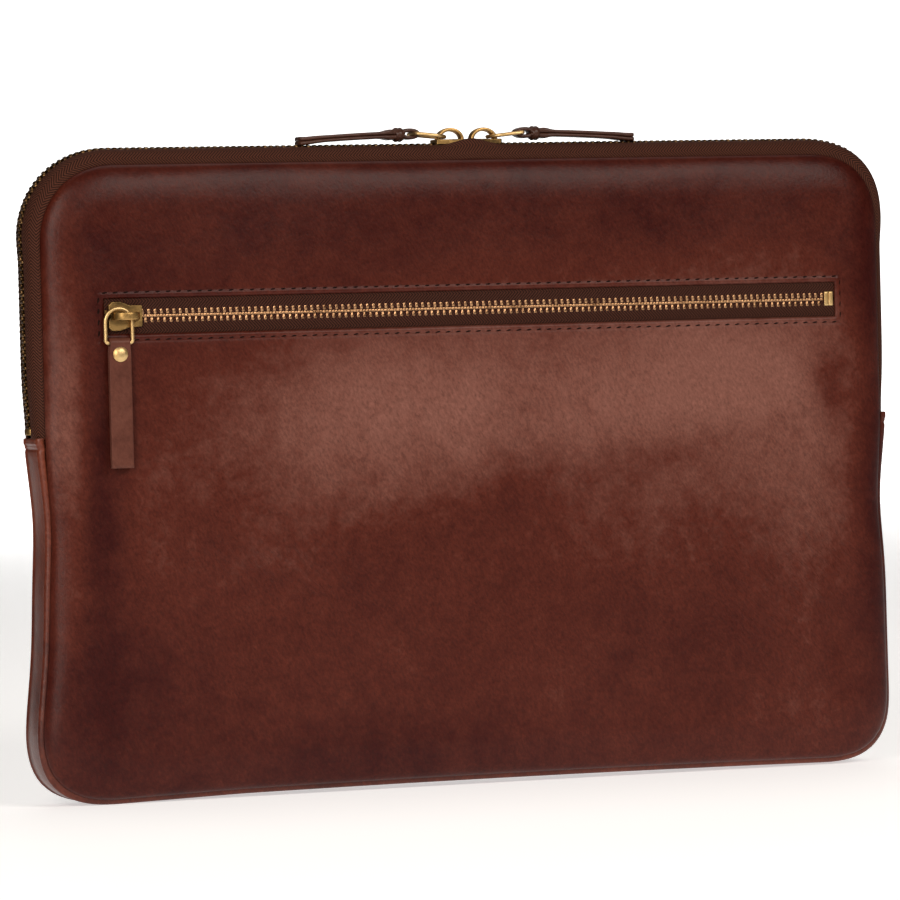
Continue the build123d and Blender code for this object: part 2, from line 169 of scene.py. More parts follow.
# %% Node helpers
def linear(hex_colour):
    """Linear RGBA of an sRGB hex colour.

    c becomes c / 12.92 up to 0.04045, and above it (c + 0.055) / 1.055 to the power 2.4.
    """
    c = np.array([int(hex_colour[i:i + 2], 16) for i in (1, 3, 5)]) / 255
    rgb = np.where(c <= 0.04045, c / 12.92, ((c + 0.055) / 1.055) ** 2.4)
    return (*(float(v) for v in rgb), 1.0)


def add(tree, kind, inputs=None, **settings):
    """One new node: settings are its properties, and an input takes a value or the link of a socket."""
    made = tree.nodes.new(kind)
    for key, value in settings.items():
        setattr(made, key, value)
    for key, value in (inputs or {}).items():
        if isinstance(value, bpy.types.NodeSocket):
            tree.links.new(value, made.inputs[key])
        else:
            made.inputs[key].default_value = value
    return made


def new_material(name):
    """An empty node material with its Principled shader and its output joined."""
    material = bpy.data.materials.new(name)
    material.use_nodes = True
    tree = material.node_tree
    tree.nodes.clear()
    shader = add(tree, "ShaderNodeBsdfPrincipled")
    add(tree, "ShaderNodeOutputMaterial", {"Surface": shader.outputs[0]})
    return material, tree, shader


def ramp(tree, factor, stops):
    """A colour ramp through (position, hex colour) stops."""
    made = add(tree, "ShaderNodeValToRGB", {"Fac": factor})
    elements = made.color_ramp.elements
    while len(elements) < len(stops):
        elements.new(0.5)
    for element, (position, colour) in zip(elements, stops):
        element.position = position
        element.color = linear(colour)
    return made.outputs["Color"]


def maths(tree, operation, a, b=0.0, c=0.0):
    """One Math node's result."""
    return add(tree, "ShaderNodeMath", {0: a, 1: b, 2: c}, operation=operation).outputs[0]


def noise(tree, coordinates, size_mm, detail=3.0, roughness=0.5, distortion=0.0):
    """A noise whose blobs are about size_mm across, in object space, where one unit is a metre."""
    settings = {"Vector": coordinates, "Scale": 1 / (size_mm * MM), "Detail": detail}
    settings.update({"Roughness": roughness, "Distortion": distortion})
    return add(tree, "ShaderNodeTexNoise", settings).outputs["Fac"]


def stretched(tree, coordinates, scale, turn=(0, 0, 0)):
    """Coordinates turned and then scaled, so that a noise on them comes out as streaks."""
    turned = add(tree, "ShaderNodeMapping", {"Vector": coordinates, "Rotation": turn}).outputs[0]
    return add(tree, "ShaderNodeMapping", {"Vector": turned, "Scale": scale}).outputs[0]


def surface(tree, shader, colour, height, depth_mm, strength):
    """Joins a colour to the shader, and a bump of depth_mm made from a height of about 0 to 1."""
    tree.links.new(colour, shader.inputs["Base Color"])
    bump = add(tree, "ShaderNodeBump", {"Height": height, "Distance": depth_mm * MM, "Strength": strength})
    tree.links.new(bump.outputs[0], shader.inputs["Normal"])


print("material helpers ready")

# %% [markdown]
# ## Waxed leather with a marbled patina and painted light
# The skin is full-grain, vegetable-tanned and hand-waxed. Dye sinks in unevenly, so deep oxblood and a
# paler rose brown drift into each other in clouds a few centimetres across, with a fine fibrous fleck over
# them; on the front the large pale and dark clouds are mostly painted sheen and painted shade, and the
# palest rose is painted sheen. Wax gives a soft satin gloss. The large clouds come from a point attribute,
# because they belong to places on the skin; the pores come from noise in object space at their real size,
# and the fleck a little coarser than real.

# %% Leather material
def leather(name, dark, middle, light, gloss, shine=0.18, fleck_depth=1.5):
    """Three colours mixed by an attribute of patina and painted light, and by clouds, with pores, fibres and
    creases as bump.
    """
    material, tree, shader = new_material(name)
    place = add(tree, "ShaderNodeTexCoord").outputs["Object"]
    patina_and_painted_light = add(tree, "ShaderNodeAttribute", attribute_name="patina_and_painted_light").outputs["Fac"]
    crease = add(tree, "ShaderNodeAttribute", attribute_name="crease").outputs["Fac"]
    clouds = noise(tree, place, 42, detail=4, roughness=0.55, distortion=0.6)
    mottle = noise(tree, place, 9, detail=5, roughness=0.6)
    dye_and_painted_light = maths(tree, "MULTIPLY_ADD", maths(tree, "SUBTRACT", clouds, 0.5), 0.5, patina_and_painted_light)
    marble = noise(tree, place, 3.2, detail=4, roughness=0.65, distortion=0.8)
    dye_and_painted_light = maths(tree, "MULTIPLY_ADD", maths(tree, "SUBTRACT", mottle, 0.5), 0.42, dye_and_painted_light)
    dye_and_painted_light = maths(tree, "MULTIPLY_ADD", maths(tree, "SUBTRACT", marble, 0.5), 0.34, dye_and_painted_light)
    colour = ramp(tree, dye_and_painted_light, [(0.0, dark), (0.4, middle), (1.0, light)])
    # fleck: fibres about 2 mm long and 1 mm wide, drawn coarser than real ones so that they show
    fibre_place = stretched(tree, place, (1.0, 1.0, 0.5), turn=(0.0, 0.5, 0.0))
    fibres = noise(tree, fibre_place, 1.0, detail=4, roughness=0.7)
    fleck = maths(tree, "MULTIPLY_ADD", fibres, fleck_depth, 1.0 - fleck_depth / 2)
    flecked = add(
        tree, "ShaderNodeMix", {"Factor": 1.0, 6: colour, 7: fleck}, data_type="RGBA", blend_type="MULTIPLY"
    )
    rough = add(tree, "ShaderNodeMapRange", {"Value": fibres, "To Min": gloss - 0.07, "To Max": gloss + 0.09})
    tree.links.new(rough.outputs[0], shader.inputs["Roughness"])
    pores = add(
        tree, "ShaderNodeTexVoronoi", {"Vector": place, "Scale": 1 / (1.1 * MM)}, feature="SMOOTH_F1"
    ).outputs["Distance"]
    wrinkle_place = stretched(tree, place, (1.0, 1.0, 0.3), turn=(0.0, 0.75, 0.0))
    wrinkles = noise(tree, wrinkle_place, 3.4, detail=4, roughness=0.6, distortion=1.4)
    height = maths(tree, "MULTIPLY_ADD", pores, 0.25, maths(tree, "MULTIPLY", fibres, 0.7))
    height = maths(tree, "MULTIPLY_ADD", maths(tree, "MULTIPLY", wrinkles, crease), 6.0, height)
    height = maths(tree, "MULTIPLY_ADD", mottle, 1.6, height)
    surface(tree, shader, flecked.outputs[2], height, 0.16, 0.75)
    shader.inputs["IOR"].default_value = 1.48
    shader.inputs["Specular IOR Level"].default_value = shine
    print("leather", name)
    return material


# satin oxblood skin whose dusty rose, its palest colour, is painted sheen laid in where the clouds run pale
PANEL_LEATHER = leather("waxed_veg_tan_leather_painted_sheen", "#340905", "#502015", "#7b4f44", gloss=0.36)
# redder and shinier, because the folded strip is rubbed with a bone
GUSSET_LEATHER = leather("burnished_gusset_leather", "#3c1109", "#6a3222", "#8a4f39", gloss=0.3, shine=0.3)
# plain and even, a cut strip that has been waxed but not marbled
TAB_LEATHER = leather("waxed_tab_leather", "#33130b", "#5f362b", "#7e5143", gloss=0.38, fleck_depth=0.7)
# the darkest leather, with a narrow shine along its rounded edges
STRAP_LEATHER = leather(
    "dark_strap_leather", "#2a140c", "#523226", "#6f4d3e", gloss=0.34, shine=0.35, fleck_depth=0.8
)

# %% [markdown]
# ## Woven tape, lining cloth and thread
# Zip tape is a polyester herringbone: columns of slanted ribs that change direction every couple of
# millimetres. The rib pattern needs to follow the tape round its bends, so it reads the tape's own UV map,
# in which one unit is a metre along and across. The ribs are drawn coarser than real ones, which are about
# half a millimetre wide, so that they show. Linings are brushed cotton twill, and thread is waxed
# polyester.

# %% Tape, cloth and thread materials
def herringbone(name, deep, high, column_mm=3.0, rib_mm=1.3):
    """Slanted ribs in columns: the rib phase is the distance along plus or minus the distance across."""
    material, tree, shader = new_material(name)
    uv = add(tree, "ShaderNodeUVMap", uv_map="Pattern").outputs[0]
    split = add(tree, "ShaderNodeSeparateXYZ", {"Vector": uv})
    along, across = split.outputs[0], split.outputs[1]
    fold = maths(tree, "PINGPONG", across, column_mm * MM)
    phase = maths(tree, "ADD", along, fold)
    rib = maths(tree, "SINE", maths(tree, "MULTIPLY", phase, 2 * math.pi / (rib_mm * MM)))
    rib = maths(tree, "MULTIPLY_ADD", rib, 0.5, 0.5)
    place = add(tree, "ShaderNodeTexCoord").outputs["Object"]
    fuzz = noise(tree, place, 0.6, detail=3)
    shade = maths(tree, "MULTIPLY_ADD", fuzz, 0.35, maths(tree, "MULTIPLY", rib, 0.75))
    surface(tree, shader, ramp(tree, shade, [(0.1, deep), (0.85, high)]), shade, 0.3, 0.8)
    shader.inputs["Roughness"].default_value = 0.78
    shader.inputs["Specular IOR Level"].default_value = 0.15
    print("tape", name)
    return material


def cloth(name, deep, high, thread_mm=0.7):
    """A plain weave on object coordinates: two sets of rounded threads at right angles, with some fuzz."""
    material, tree, shader = new_material(name)
    place = add(tree, "ShaderNodeTexCoord").outputs["Object"]
    split = add(tree, "ShaderNodeSeparateXYZ", {"Vector": place})
    turn = math.pi / (thread_mm * MM)
    waves = [maths(tree, "SINE", maths(tree, "MULTIPLY", split.outputs[i], turn)) for i in (0, 2)]
    weave = maths(tree, "MULTIPLY_ADD", maths(tree, "MULTIPLY", waves[0], waves[1]), 0.5, 0.5)
    fuzz = noise(tree, place, 1.1, detail=4)
    shade = maths(tree, "MULTIPLY_ADD", fuzz, 0.6, maths(tree, "MULTIPLY", weave, 0.4))
    surface(tree, shader, ramp(tree, shade, [(0.2, deep), (0.8, high)]), shade, 0.2, 0.6)
    shader.inputs["Roughness"].default_value = 0.9
    shader.inputs["Specular IOR Level"].default_value = 0.2
    print("cloth", name)
    return material


# dark woven bands with a faint slanting shimmer
TAPE = herringbone("herringbone_polyester_tape", "#100402", "#573022")
# the pocket's tape is the same weave darker, painted shade where it sits back behind the window
POCKET_TAPE_PAINTED_SHADE = herringbone("pocket_herringbone_tape_painted_shade", "#0e0402", "#48261a")
# quiet, matt cloth inside the sleeve and its pocket
LINING = cloth("brushed_cotton_lining", "#1c110e", "#3a2620")
BAG_CLOTH = cloth("pocket_bag_cotton", "#2a1c16", "#4a372c", thread_mm=0.9)
# grey foam, whose cells read as a coarse grain, and thread as a row of small twisted dashes
FOAM = cloth("closed_cell_foam", "#26262a", "#3c3c40", thread_mm=1.6)
THREAD = herringbone("waxed_polyester_thread", "#0a0302", "#281009", column_mm=50, rib_mm=0.45)

# %% [markdown]
# ## Brass
# The teeth and sliders are brass with an antique finish: a dark patina is put on chemically and then rubbed
# back, so it stays in hollows and the high places are bare. The rings, the rivet and the box stop are
# handled and stay bright. A noise stands in for the uneven rubbing.

# %% Brass material
def brass(name, bare, tarnish, amount, rough, patch_mm):
    """Bare metal and tarnish mixed by noise in patches of patch_mm; a larger amount shows more tarnish."""
    material, tree, shader = new_material(name)
    place = add(tree, "ShaderNodeTexCoord").outputs["Object"]
    rub = noise(tree, place, patch_mm, detail=3, roughness=0.5)
    colour = ramp(tree, maths(tree, "SUBTRACT", rub, amount - 0.5), [(0.35, tarnish), (0.62, bare)])
    scuff = noise(tree, place, 0.9, detail=2)
    spread = add(tree, "ShaderNodeMapRange", {"Value": scuff, "To Min": rough - 0.08, "To Max": rough + 0.12})
    tree.links.new(spread.outputs[0], shader.inputs["Roughness"])
    surface(tree, shader, colour, scuff, 0.02, 0.3)
    shader.inputs["Metallic"].default_value = 1.0
    print("brass", name)
    return material


# dull greenish gold on the slider bodies and end stops
ANTIQUE_BRASS = brass("antique_brass", "#ae8c57", "#5d4a2e", 0.48, 0.42, patch_mm=5)
# coppery tips in the pocket zip, and brown ones with few glints in the main zip
TEETH_BRASS = brass("antique_brass_teeth", "#c0946c", "#7a563a", 0.4, 0.32, patch_mm=6)
DARK_BRASS = brass("darkened_zip_brass", "#9c7a52", "#49341f", 0.6, 0.4, patch_mm=4)
# pale gold where fingers polish it, and the bridges between the two
BRIGHT_BRASS = brass("handled_brass", "#e8c68c", "#c09558", 0.36, 0.4, patch_mm=9)
RUBBED_BRASS = brass("rubbed_antique_brass", "#caa266", "#7a6038", 0.42, 0.38, patch_mm=7)

# %% [markdown]
# ## The seam line
# Zip, gusset and panels all meet on one line: a rounded rectangle, split at the crease into an upper half
# for the zip and a lower half for the gusset. Everything that follows the line is worked out from the
# distance along it, so teeth and tape stay in step.

# %% Seam line and bands along it
def seam_line(distance, top):
    """Places, outward normals and total length of one half of the seam line.

    From an end, a straight side leads to a quarter circle and then to the long straight. The second half of
    the line is the mirror image of the first.
    """
    way = 1.0 if top else -1.0
    edge = SEAM_TOP if top else SEAM_BASE
    side = abs(edge - way * CORNER - FOLD_Z)
    quarter = CORNER * math.pi / 2
    total = 2 * side + 2 * quarter + 2 * (SEAM_X - CORNER)
    s = np.asarray(distance, float)
    d = np.minimum(s, total - s)
    turn = np.clip((d - side) / CORNER, 0, math.pi / 2)
    x = -SEAM_X + CORNER * (1 - np.cos(turn)) + np.maximum(d - side - quarter, 0)
    z = FOLD_Z + way * (np.minimum(d, side) + CORNER * np.sin(turn))
    hand = np.where(s > total / 2, -1.0, 1.0)
    return x * hand, z, -np.cos(turn) * hand, way * np.sin(turn), total


def slouch(points):
    """The soft set of a used sleeve, added to millimetre points.

    Each side is drawn in below the zip ends by a bell curve of height and pushed out near the base. The base
    and top corners are pushed out along their own radius, most at 45 degrees, which makes them squarer. The
    base rises a little in its middle, and the faces swell and sink in a sum of long waves.
    """
    p = np.array(points, float)
    x, y, z = p[..., 0].copy(), p[..., 1].copy(), p[..., 2].copy()
    left = x < 0
    near_side = np.clip((np.abs(x) - 110) / 70, 0, 1) ** 2
    pinch = np.where(left, 1.5, 2.0) * np.exp(-(((z - 112) / 22) ** 2))
    foot = np.where(left, 4.2, 0.3) * np.exp(-((np.maximum(z - 24, 0) / 32) ** 2))
    p[..., 0] += np.sign(x) * (foot - pinch) * np.clip((FOLD_Z - z) / 12, 0, 1) * near_side
    u = np.maximum(np.abs(x) - SEAM_X + CORNER, 0)
    w = np.maximum(SEAM_BASE + CORNER - z, 0)
    r = np.maximum(np.hypot(u, w), 1e-6)
    square = 3.0 * (2 * u * w / r**2) ** 2 * (r / CORNER) ** 2
    p[..., 0] += np.sign(x) * square * u / r
    p[..., 2] -= square * w / r
    rise = 1.1 * np.maximum(1 - (x / 158) ** 2, 0) + 1.0 * np.clip((x + 165) / 60, 0, 1)
    p[..., 2] += rise * np.exp(-((np.maximum(z, 0) / 30) ** 2))
    w = np.maximum(z - SEAM_TOP + CORNER, 0)
    r = np.maximum(np.hypot(u, w), 1e-6)
    square = np.where(left, 0.2, 1.8) * (2 * u * w / r**2) ** 2 * np.minimum(r / CORNER, 1.2) ** 2
    p[..., 0] += np.sign(x) * square * u / r
    p[..., 2] += square * w / r
    face = np.clip((np.abs(y) - SEAM_HALF - 2) / 4, 0, 1) * np.sign(y)
    wave = np.sin(x / 31 + 1.3) * np.sin(z / 37 + 0.4) + 0.7 * np.sin(x / 17 - z / 23 + 2.0)
    away = np.clip((np.abs(z - POCKET_Z) - 14) / 40, 0, 1)
    away = away * away * (3 - 2 * away)
    height = np.clip(np.minimum(z - 25, 245 - z) / 30, 0, 1)
    valley = 1.5 * np.exp(-(((np.abs(x) - 163) / 8) ** 2)) * height
    p[..., 1] -= face * away * (0.35 * (0.9 - wave) + valley)
    return p


POCKET_Z = (stitch_low[2] + stitch_high[2]) / 2
POCKET_X = (stitch_low[0] + stitch_high[0]) / 2


def band_piece(name, section, distances, top, lift=0.0):
    """A closed section of (outward, y) points carried along the seam line, as a mesh, with its points.

    lift adds to outward, as a column with one value per station or a table with one per section point too.
    The UV map is the distance along and the distance round the section.
    """
    section = np.asarray(section, float)
    x, z, nx, nz, _ = seam_line(distances, top)
    out = section[None, :, 0] + lift
    points = np.empty((len(distances), len(section), 3))
    points[..., 0] = x[:, None] + nx[:, None] * out
    points[..., 1] = section[None, :, 1]
    points[..., 2] = z[:, None] + nz[:, None] * out
    points = slouch(points)
    rows, columns = points.shape[:2]
    step = np.linalg.norm(np.diff(section, axis=0), axis=1)
    round_section = np.concatenate([[0], np.cumsum(step)])
    uv = np.stack(np.meshgrid(np.asarray(distances) * MM, round_section * MM, indexing="ij"), -1)
    caps = [tuple(range(columns)), tuple((rows - 1) * columns + i for i in reversed(range(columns)))]
    piece = to_mesh(name, points, grid_faces(rows, columns, wrap_columns=True), uv, caps)
    return piece, points


ZIP_LENGTH = seam_line(0.0, True)[4]
GUSSET_LENGTH = seam_line(0.0, False)[4]
print("zip path", round(float(ZIP_LENGTH), 1), "gusset path", round(float(GUSSET_LENGTH), 1))

# %% [markdown]
# ## Panels
# A panel is skin stretched over padding and turned back to the seam, so it is flat in the middle, swells
# over a broad rounded edge and drops steeply into the seam. A rectangular grid covers the flat middle. Its
# corner squares are pressed into quarter discs, which keeps every face four-sided, and loops of its outer
# edge are then pushed outwards and down the edge's curve, a quarter of a superellipse.

# %% Panel surface
EDGE = 17.5
SWELL = 2.05
FRINGE = [0, 0.7, 1.4, 2.1, 2.65, 3.2, 4.2]
FRINGE_SINK = [0.3, -0.15, -0.28, -0.15, 0.2, 0.05, 0]


def lines(stops, step):
    """Evenly spaced values from stop to stop, no further apart than step."""
    pairs = list(zip(stops, stops[1:]))
    runs = [np.linspace(a, b, max(math.ceil((b - a) / step), 1) + 1)[:-1] for a, b in pairs]
    return np.concatenate(runs + [[stops[-1]]])


def round_corners(x, z, half_x, half_z, radius):
    """Presses a grid's corner squares into quarter discs.

    With s and t from 0 to 1 across the square, s becomes s times the root of 1 - t*t/2, and t likewise.
    """
    s = np.clip((np.abs(x) - half_x + radius) / radius, 0, 1)
    t = np.clip((np.abs(z) - half_z + radius) / radius, 0, 1)
    new_x = np.where(s > 0, half_x - radius + radius * s * np.sqrt(1 - t * t / 2), np.abs(x))
    new_z = np.where(t > 0, half_z - radius + radius * t * np.sqrt(1 - s * s / 2), np.abs(z))
    return np.sign(x) * new_x, np.sign(z) * new_z


def panel_surface(inset, face_y, rim_y, edge=EDGE, step=2.4, window=None, turn_under=2.5):
    """Points and faces of one panel that faces -Y, with an optional window.

    inset moves the outline inwards from the seam line. face_y is the flat middle and rim_y the rim's y. With
    an angle from 0 to 90 degrees over the edge, a loop is pushed out by sin(angle) to the power 2 / SWELL and
    stands off the rim by cos(angle) to the same power. FRINGE gives distances out from the window, and
    FRINGE_SINK how far the leather sinks there: a turned edge, and a groove where the stitches pull it in.
    """
    middle_z = (SEAM_TOP + SEAM_BASE) / 2
    half_x, half_z = SEAM_X - inset - edge, (SEAM_TOP - SEAM_BASE) / 2 - inset - edge
    radius = max(CORNER - inset - edge, 6.0)
    x_stops = [-half_x, -half_x + radius, half_x - radius, half_x]
    z_stops = [-half_z, -half_z + radius, half_z - radius, half_z]
    if window is not None:
        x0, x1, z0, z1 = window
        x_stops = sorted(x_stops + [x0 - d for d in FRINGE] + [x1 + d for d in FRINGE])
        z_stops = sorted(z_stops + [z0 - middle_z - d for d in FRINGE] + [z1 - middle_z + d for d in FRINGE])
    xs, zs = lines(x_stops, step), lines(z_stops, step)
    grid_x, grid_z = np.meshgrid(xs, zs)
    flat_x, flat_z = round_corners(grid_x, grid_z, half_x, half_z, radius)
    rows, columns = grid_x.shape
    flat_y = np.full_like(flat_x, face_y)
    if window is not None:
        beyond_x = np.maximum(x0 - flat_x, flat_x - x1)
        beyond_z = np.maximum(z0 - flat_z - middle_z, flat_z + middle_z - z1)
        beyond = np.maximum(np.maximum(beyond_x, beyond_z), 0)
        roll = np.interp(beyond, FRINGE, FRINGE_SINK)
        # round the slider the ring has pressed the raised edge nearly flat
        worn = 1 - 0.8 * np.exp(-(((flat_x - x0 + 2) / 12) ** 4))
        flat_y += np.where(roll < 0, roll * worn, roll)
    flat = np.stack([flat_x, flat_y, flat_z + middle_z], -1).reshape(-1, 3)
    faces = grid_faces(rows, columns)
    if window is not None:
        centre_x = grid_x.ravel()[faces].mean(axis=1)
        centre_z = grid_z.ravel()[faces].mean(axis=1) + middle_z
        faces = faces[~((centre_x > x0) & (centre_x < x1) & (centre_z > z0) & (centre_z < z1))]
    number = np.arange(rows * columns).reshape(rows, columns)
    loop = np.concatenate([number[0, :-1], number[:-1, -1], number[-1, :0:-1], number[:0:-1, 0]])
    rim = flat[loop]
    out = np.stack(
        [
            np.sign(rim[:, 0]) * np.maximum(np.abs(rim[:, 0]) - half_x + radius, 0),
            np.sign(rim[:, 2] - middle_z) * np.maximum(np.abs(rim[:, 2] - middle_z) - half_z + radius, 0),
        ],
        -1,
    )
    out /= np.linalg.norm(out, axis=1, keepdims=True)
    angle = np.linspace(0, math.pi / 2, 15)[1:]
    push = edge * np.sin(angle) ** (2 / SWELL)
    height = rim_y + (face_y - rim_y) * np.clip(np.cos(angle), 0, 1) ** (2 / SWELL)
    push = np.append(push, edge - turn_under)
    height = np.append(height, rim_y + 0.35 * np.sign(rim_y - face_y))
    skirt = np.empty((len(push), len(loop), 3))
    skirt[..., 0] = rim[None, :, 0] + out[None, :, 0] * push[:, None]
    skirt[..., 1] = height[:, None]
    skirt[..., 2] = rim[None, :, 2] + out[None, :, 1] * push[:, None]
    first = rows * columns
    ring = np.vstack([loop, first + np.arange(len(push) * len(loop)).reshape(len(push), -1)])
    a, b = ring[:-1], ring[1:]
    skirt_faces = np.stack([a, b, np.roll(b, -1, 1), np.roll(a, -1, 1)], -1).reshape(-1, 4)
    points = np.vstack([flat, skirt.reshape(-1, 3)])
    return points, np.vstack([faces, skirt_faces])


def turned_round(points):
    """The same points after half a turn about the vertical, for a piece on the back."""
    return points * np.array([-1.0, -1.0, 1.0])


WINDOW_MARGIN = 2.65
window = (
    stitch_low[0] + WINDOW_MARGIN,
    stitch_high[0] - WINDOW_MARGIN,
    stitch_low[2] + WINDOW_MARGIN,
    stitch_high[2] - WINDOW_MARGIN,
)
print("pocket window", [round(float(v), 1) for v in window])

# %% [markdown]
# ## Where the dye is pale and dark, and where sheen and shade are painted
# On a hand-dyed panel the pale and dark places are wide soft clouds. Each one here is a bell curve with a
# middle, two widths and a slant. Their sum, from 0 for the darkest dye to 1 for the palest,
# is stored on the points of the mesh.
# On the front most of the clouds are painted sheen and painted shade: the broad reflection of the lights
# across the middle and right, a highlight on the rounded left edge, and darker places where less light falls.

# %% Patina and painted light of the front, patina of the back
def bells(x, z, clouds):
    """Sum of slanted bell curves: each is (x, z, width, height, slant in degrees, strength)."""
    total = np.zeros_like(x, dtype=float)
    for cx, cz, wide, high, slant, strength in clouds:
        a = math.radians(slant)
        u = ((x - cx) * math.cos(a) + (z - cz) * math.sin(a)) / wide
        v = (-(x - cx) * math.sin(a) + (z - cz) * math.cos(a)) / high
        total += strength * np.exp(-(u * u + v * v))
    return total


FRONT_CLOUDS_PAINTED_LIGHT = [
    # painted sheen with some paler dye: these pale bells lay the lights' broad soft reflection into the
    # colour, strongest across the middle and right
    (50, 160, 190, 42, 3, 0.62),
    (-40, 160, 60, 32, 10, 0.25),
    (125, 172, 70, 46, 0, 0.30),
    (160, 108, 40, 35, 0, 0.30),
    (90, 100, 60, 25, 0, 0.15),
    (0, 50, 90, 35, 0, 0.16),
    (160, 36, 50, 35, 0, 0.18),
    (-119, 90, 50, 30, 0, 0.12),
    # painted highlight on the rounded left edge, then painted shade in the valley beside it
    (-178, 165, 8, 85, 0, 0.36),
    (-164, 125, 9, 75, 0, -0.28),
    # painted shade: a darker band along the top, at the lower left and along the bottom
    (-20, 245, 110, 20, 0, -0.10),
    (-160, 50, 30, 30, 0, -0.08),
    (-61, 12, 90, 15, 0, -0.12),
    (160, 163, 9, 16, 12, -0.45),
    (75, 236, 28, 13, -12, -0.14),
    (20, 122, 22, 16, 30, -0.16),
    (100, 138, 46, 9, 12, -0.18),
    (25, 160, 12, 24, -30, -0.12),
    # painted shade down the right edge, which turns away from the lights
    (184, 150, 15, 100, 0, -0.6),
]
BACK_CLOUDS = [
    (-60, 170, 90, 45, 20, 0.45),
    (90, 110, 100, 40, -12, 0.38),
    (20, 225, 120, 20, 5, 0.15),
    (-120, 80, 60, 30, 30, -0.15),
    (40, 160, 30, 18, -30, -0.2),
    (130, 200, 40, 25, 0, -0.12),
]
CREASES = [
    (140, 88, 26, 40, -30, 1.0),
    (-90, 96, 44, 14, -8, 0.7),
    (40, 128, 40, 16, 30, 0.4),
]


def dye_and_painted_light(points, clouds, ground=0.2):
    """The patina value of each point, with the painted sheen and shade that the clouds hold."""
    return np.clip(ground + bells(points[..., 0], points[..., 2], clouds), 0, 1)


def panel_values(points, clouds):
    """The point attributes of a panel: its patina with any painted sheen and shade, and how creased it is."""
    crease = np.clip(bells(points[:, 0], points[:, 2], CREASES), 0, 1)
    return {"patina_and_painted_light": dye_and_painted_light(points, clouds), "crease": crease}


print("clouds", len(FRONT_CLOUDS_PAINTED_LIGHT), len(BACK_CLOUDS))

# %% [markdown]
# ## Front panel
# One skin with a long window cut in it for the pocket zip. The window's edge is cut clean, so the thickness
# of the leather shows there, and that is why the sheet gets a real thickness rather than a painted line.

# %% Make the front panel
LEATHER = 1.4
points, faces = panel_surface(0.0, -FACE, -SEAM_HALF, window=window)
# the front's patina carries the painted sheen and painted shade of its clouds
front_values = panel_values(points, FRONT_CLOUDS_PAINTED_LIGHT)
front_panel = to_mesh("front_panel_leather", slouch(points), faces, values=front_values)
thicken(front_panel, LEATHER)
finish_piece(front_panel, PANEL_LEATHER, "shell", ["front_panel"])
print("front panel points", len(points))

# %% [markdown]
# ## Back panel
# The back is one plain skin. The model splits it at the crease where the mouth opens, and here it is whole
# again, one mesh in place of both halves.

# %% Make the back panel
FRONT, BACK = -1, 1
HALVES = ((FRONT, "front"), (BACK, "back"))


def finish_half(piece, side, material, slot, *nodes):
    """The front half rides the fixed body; the back half is baked in place and rides no body."""
    if side == FRONT:
        return finish_piece(piece, material, "shell", nodes)
    piece.data.materials.append(material)
    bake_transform(piece)
    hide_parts(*nodes)
    return piece


def layer_nodes(side, kind):
    """The model parts of one layer: one part in front, and two that meet at the crease at the back."""
    return [f"front_{kind}"] if side == FRONT else [f"back_{kind}_lower", f"back_{kind}_upper"]


points, faces = panel_surface(0.0, -FACE, -SEAM_HALF)
points = turned_round(points)
back_values = panel_values(points, BACK_CLOUDS)
back_panel = to_mesh("back_panel_leather", slouch(points), faces, values=back_values)
thicken(back_panel, LEATHER)
finish_half(back_panel, BACK, PANEL_LEATHER, "patina_leather", *layer_nodes(BACK, "panel"))
print("back panel points", len(points))

# %% [markdown]
# ## Gusset
# The gusset is a strip of burnished leather with its long edges turned under, so a narrow rounded ridge
# runs beside each seam, and a groove lies between the ridge and the panel. Its two ends are folded over the
# ends of the zip tape and held with two stitches.

# %% Make the gusset
RIDGE_PLACE = 8.9
RIDGE_WIDTH = 0.85


def gusset_section():
    """(outward, y) round the strip: a crowned middle, a ridge near each edge, then the turned edge."""
    edge_y = np.linspace(7.2, 10.55, 12)
    y = np.concatenate([-edge_y[::-1], np.linspace(-6.2, 6.2, 13), edge_y])
    top = GUSSET_OUT - 0.2 + 0.6 * (1 - (y / 9) ** 2)
    top += 0.75 * np.exp(-(((np.abs(y) - RIDGE_PLACE) / RIDGE_WIDTH) ** 2))
    top -= 2.6 * np.clip((np.abs(y) - 9.7) / 0.85, 0, 1) ** 2
    bottom_y = np.linspace(10.4, -10.4, 9)
    bottom = np.full_like(bottom_y, GUSSET_OUT - LEATHER - 0.9)
    return np.stack([np.concatenate([top, bottom]), np.concatenate([y, bottom_y])], -1)


HEM = 2.4
gusset_stations = np.concatenate([
    np.linspace(0.0, 6.0, 16),
    np.arange(8.0, GUSSET_LENGTH - 7.0, 2.5),
    np.linspace(GUSSET_LENGTH - 6.0, GUSSET_LENGTH, 16),
])
from_end = np.minimum(gusset_stations, GUSSET_LENGTH - gusset_stations)
hem_lift = 0.35 * np.clip((HEM - from_end) / 0.5 + 1, 0, 1)
hem_lift -= 0.6 * np.clip(1 - from_end / 0.5, 0, 1) ** 2
hem_lift -= 0.35 * np.exp(-(((from_end - 4.6) / 0.6) ** 2))
hem_lift += 1.3 * np.exp(-((from_end / 20) ** 2))
belly = 0.14 * np.sin(gusset_stations / GUSSET_LENGTH * math.pi * 9) * np.clip(from_end / 40, 0, 1)
floor_flat = np.abs(gusset_stations - GUSSET_LENGTH / 2) < SEAM_X - CORNER + 20
gusset_lift = hem_lift + np.where(floor_flat, 0.0, belly)
gusset_lift = gusset_lift[:, None]
gusset, gusset_points = band_piece("gusset_leather", gusset_section(), gusset_stations, False, gusset_lift)
lowest = gusset_points[..., 2].min()
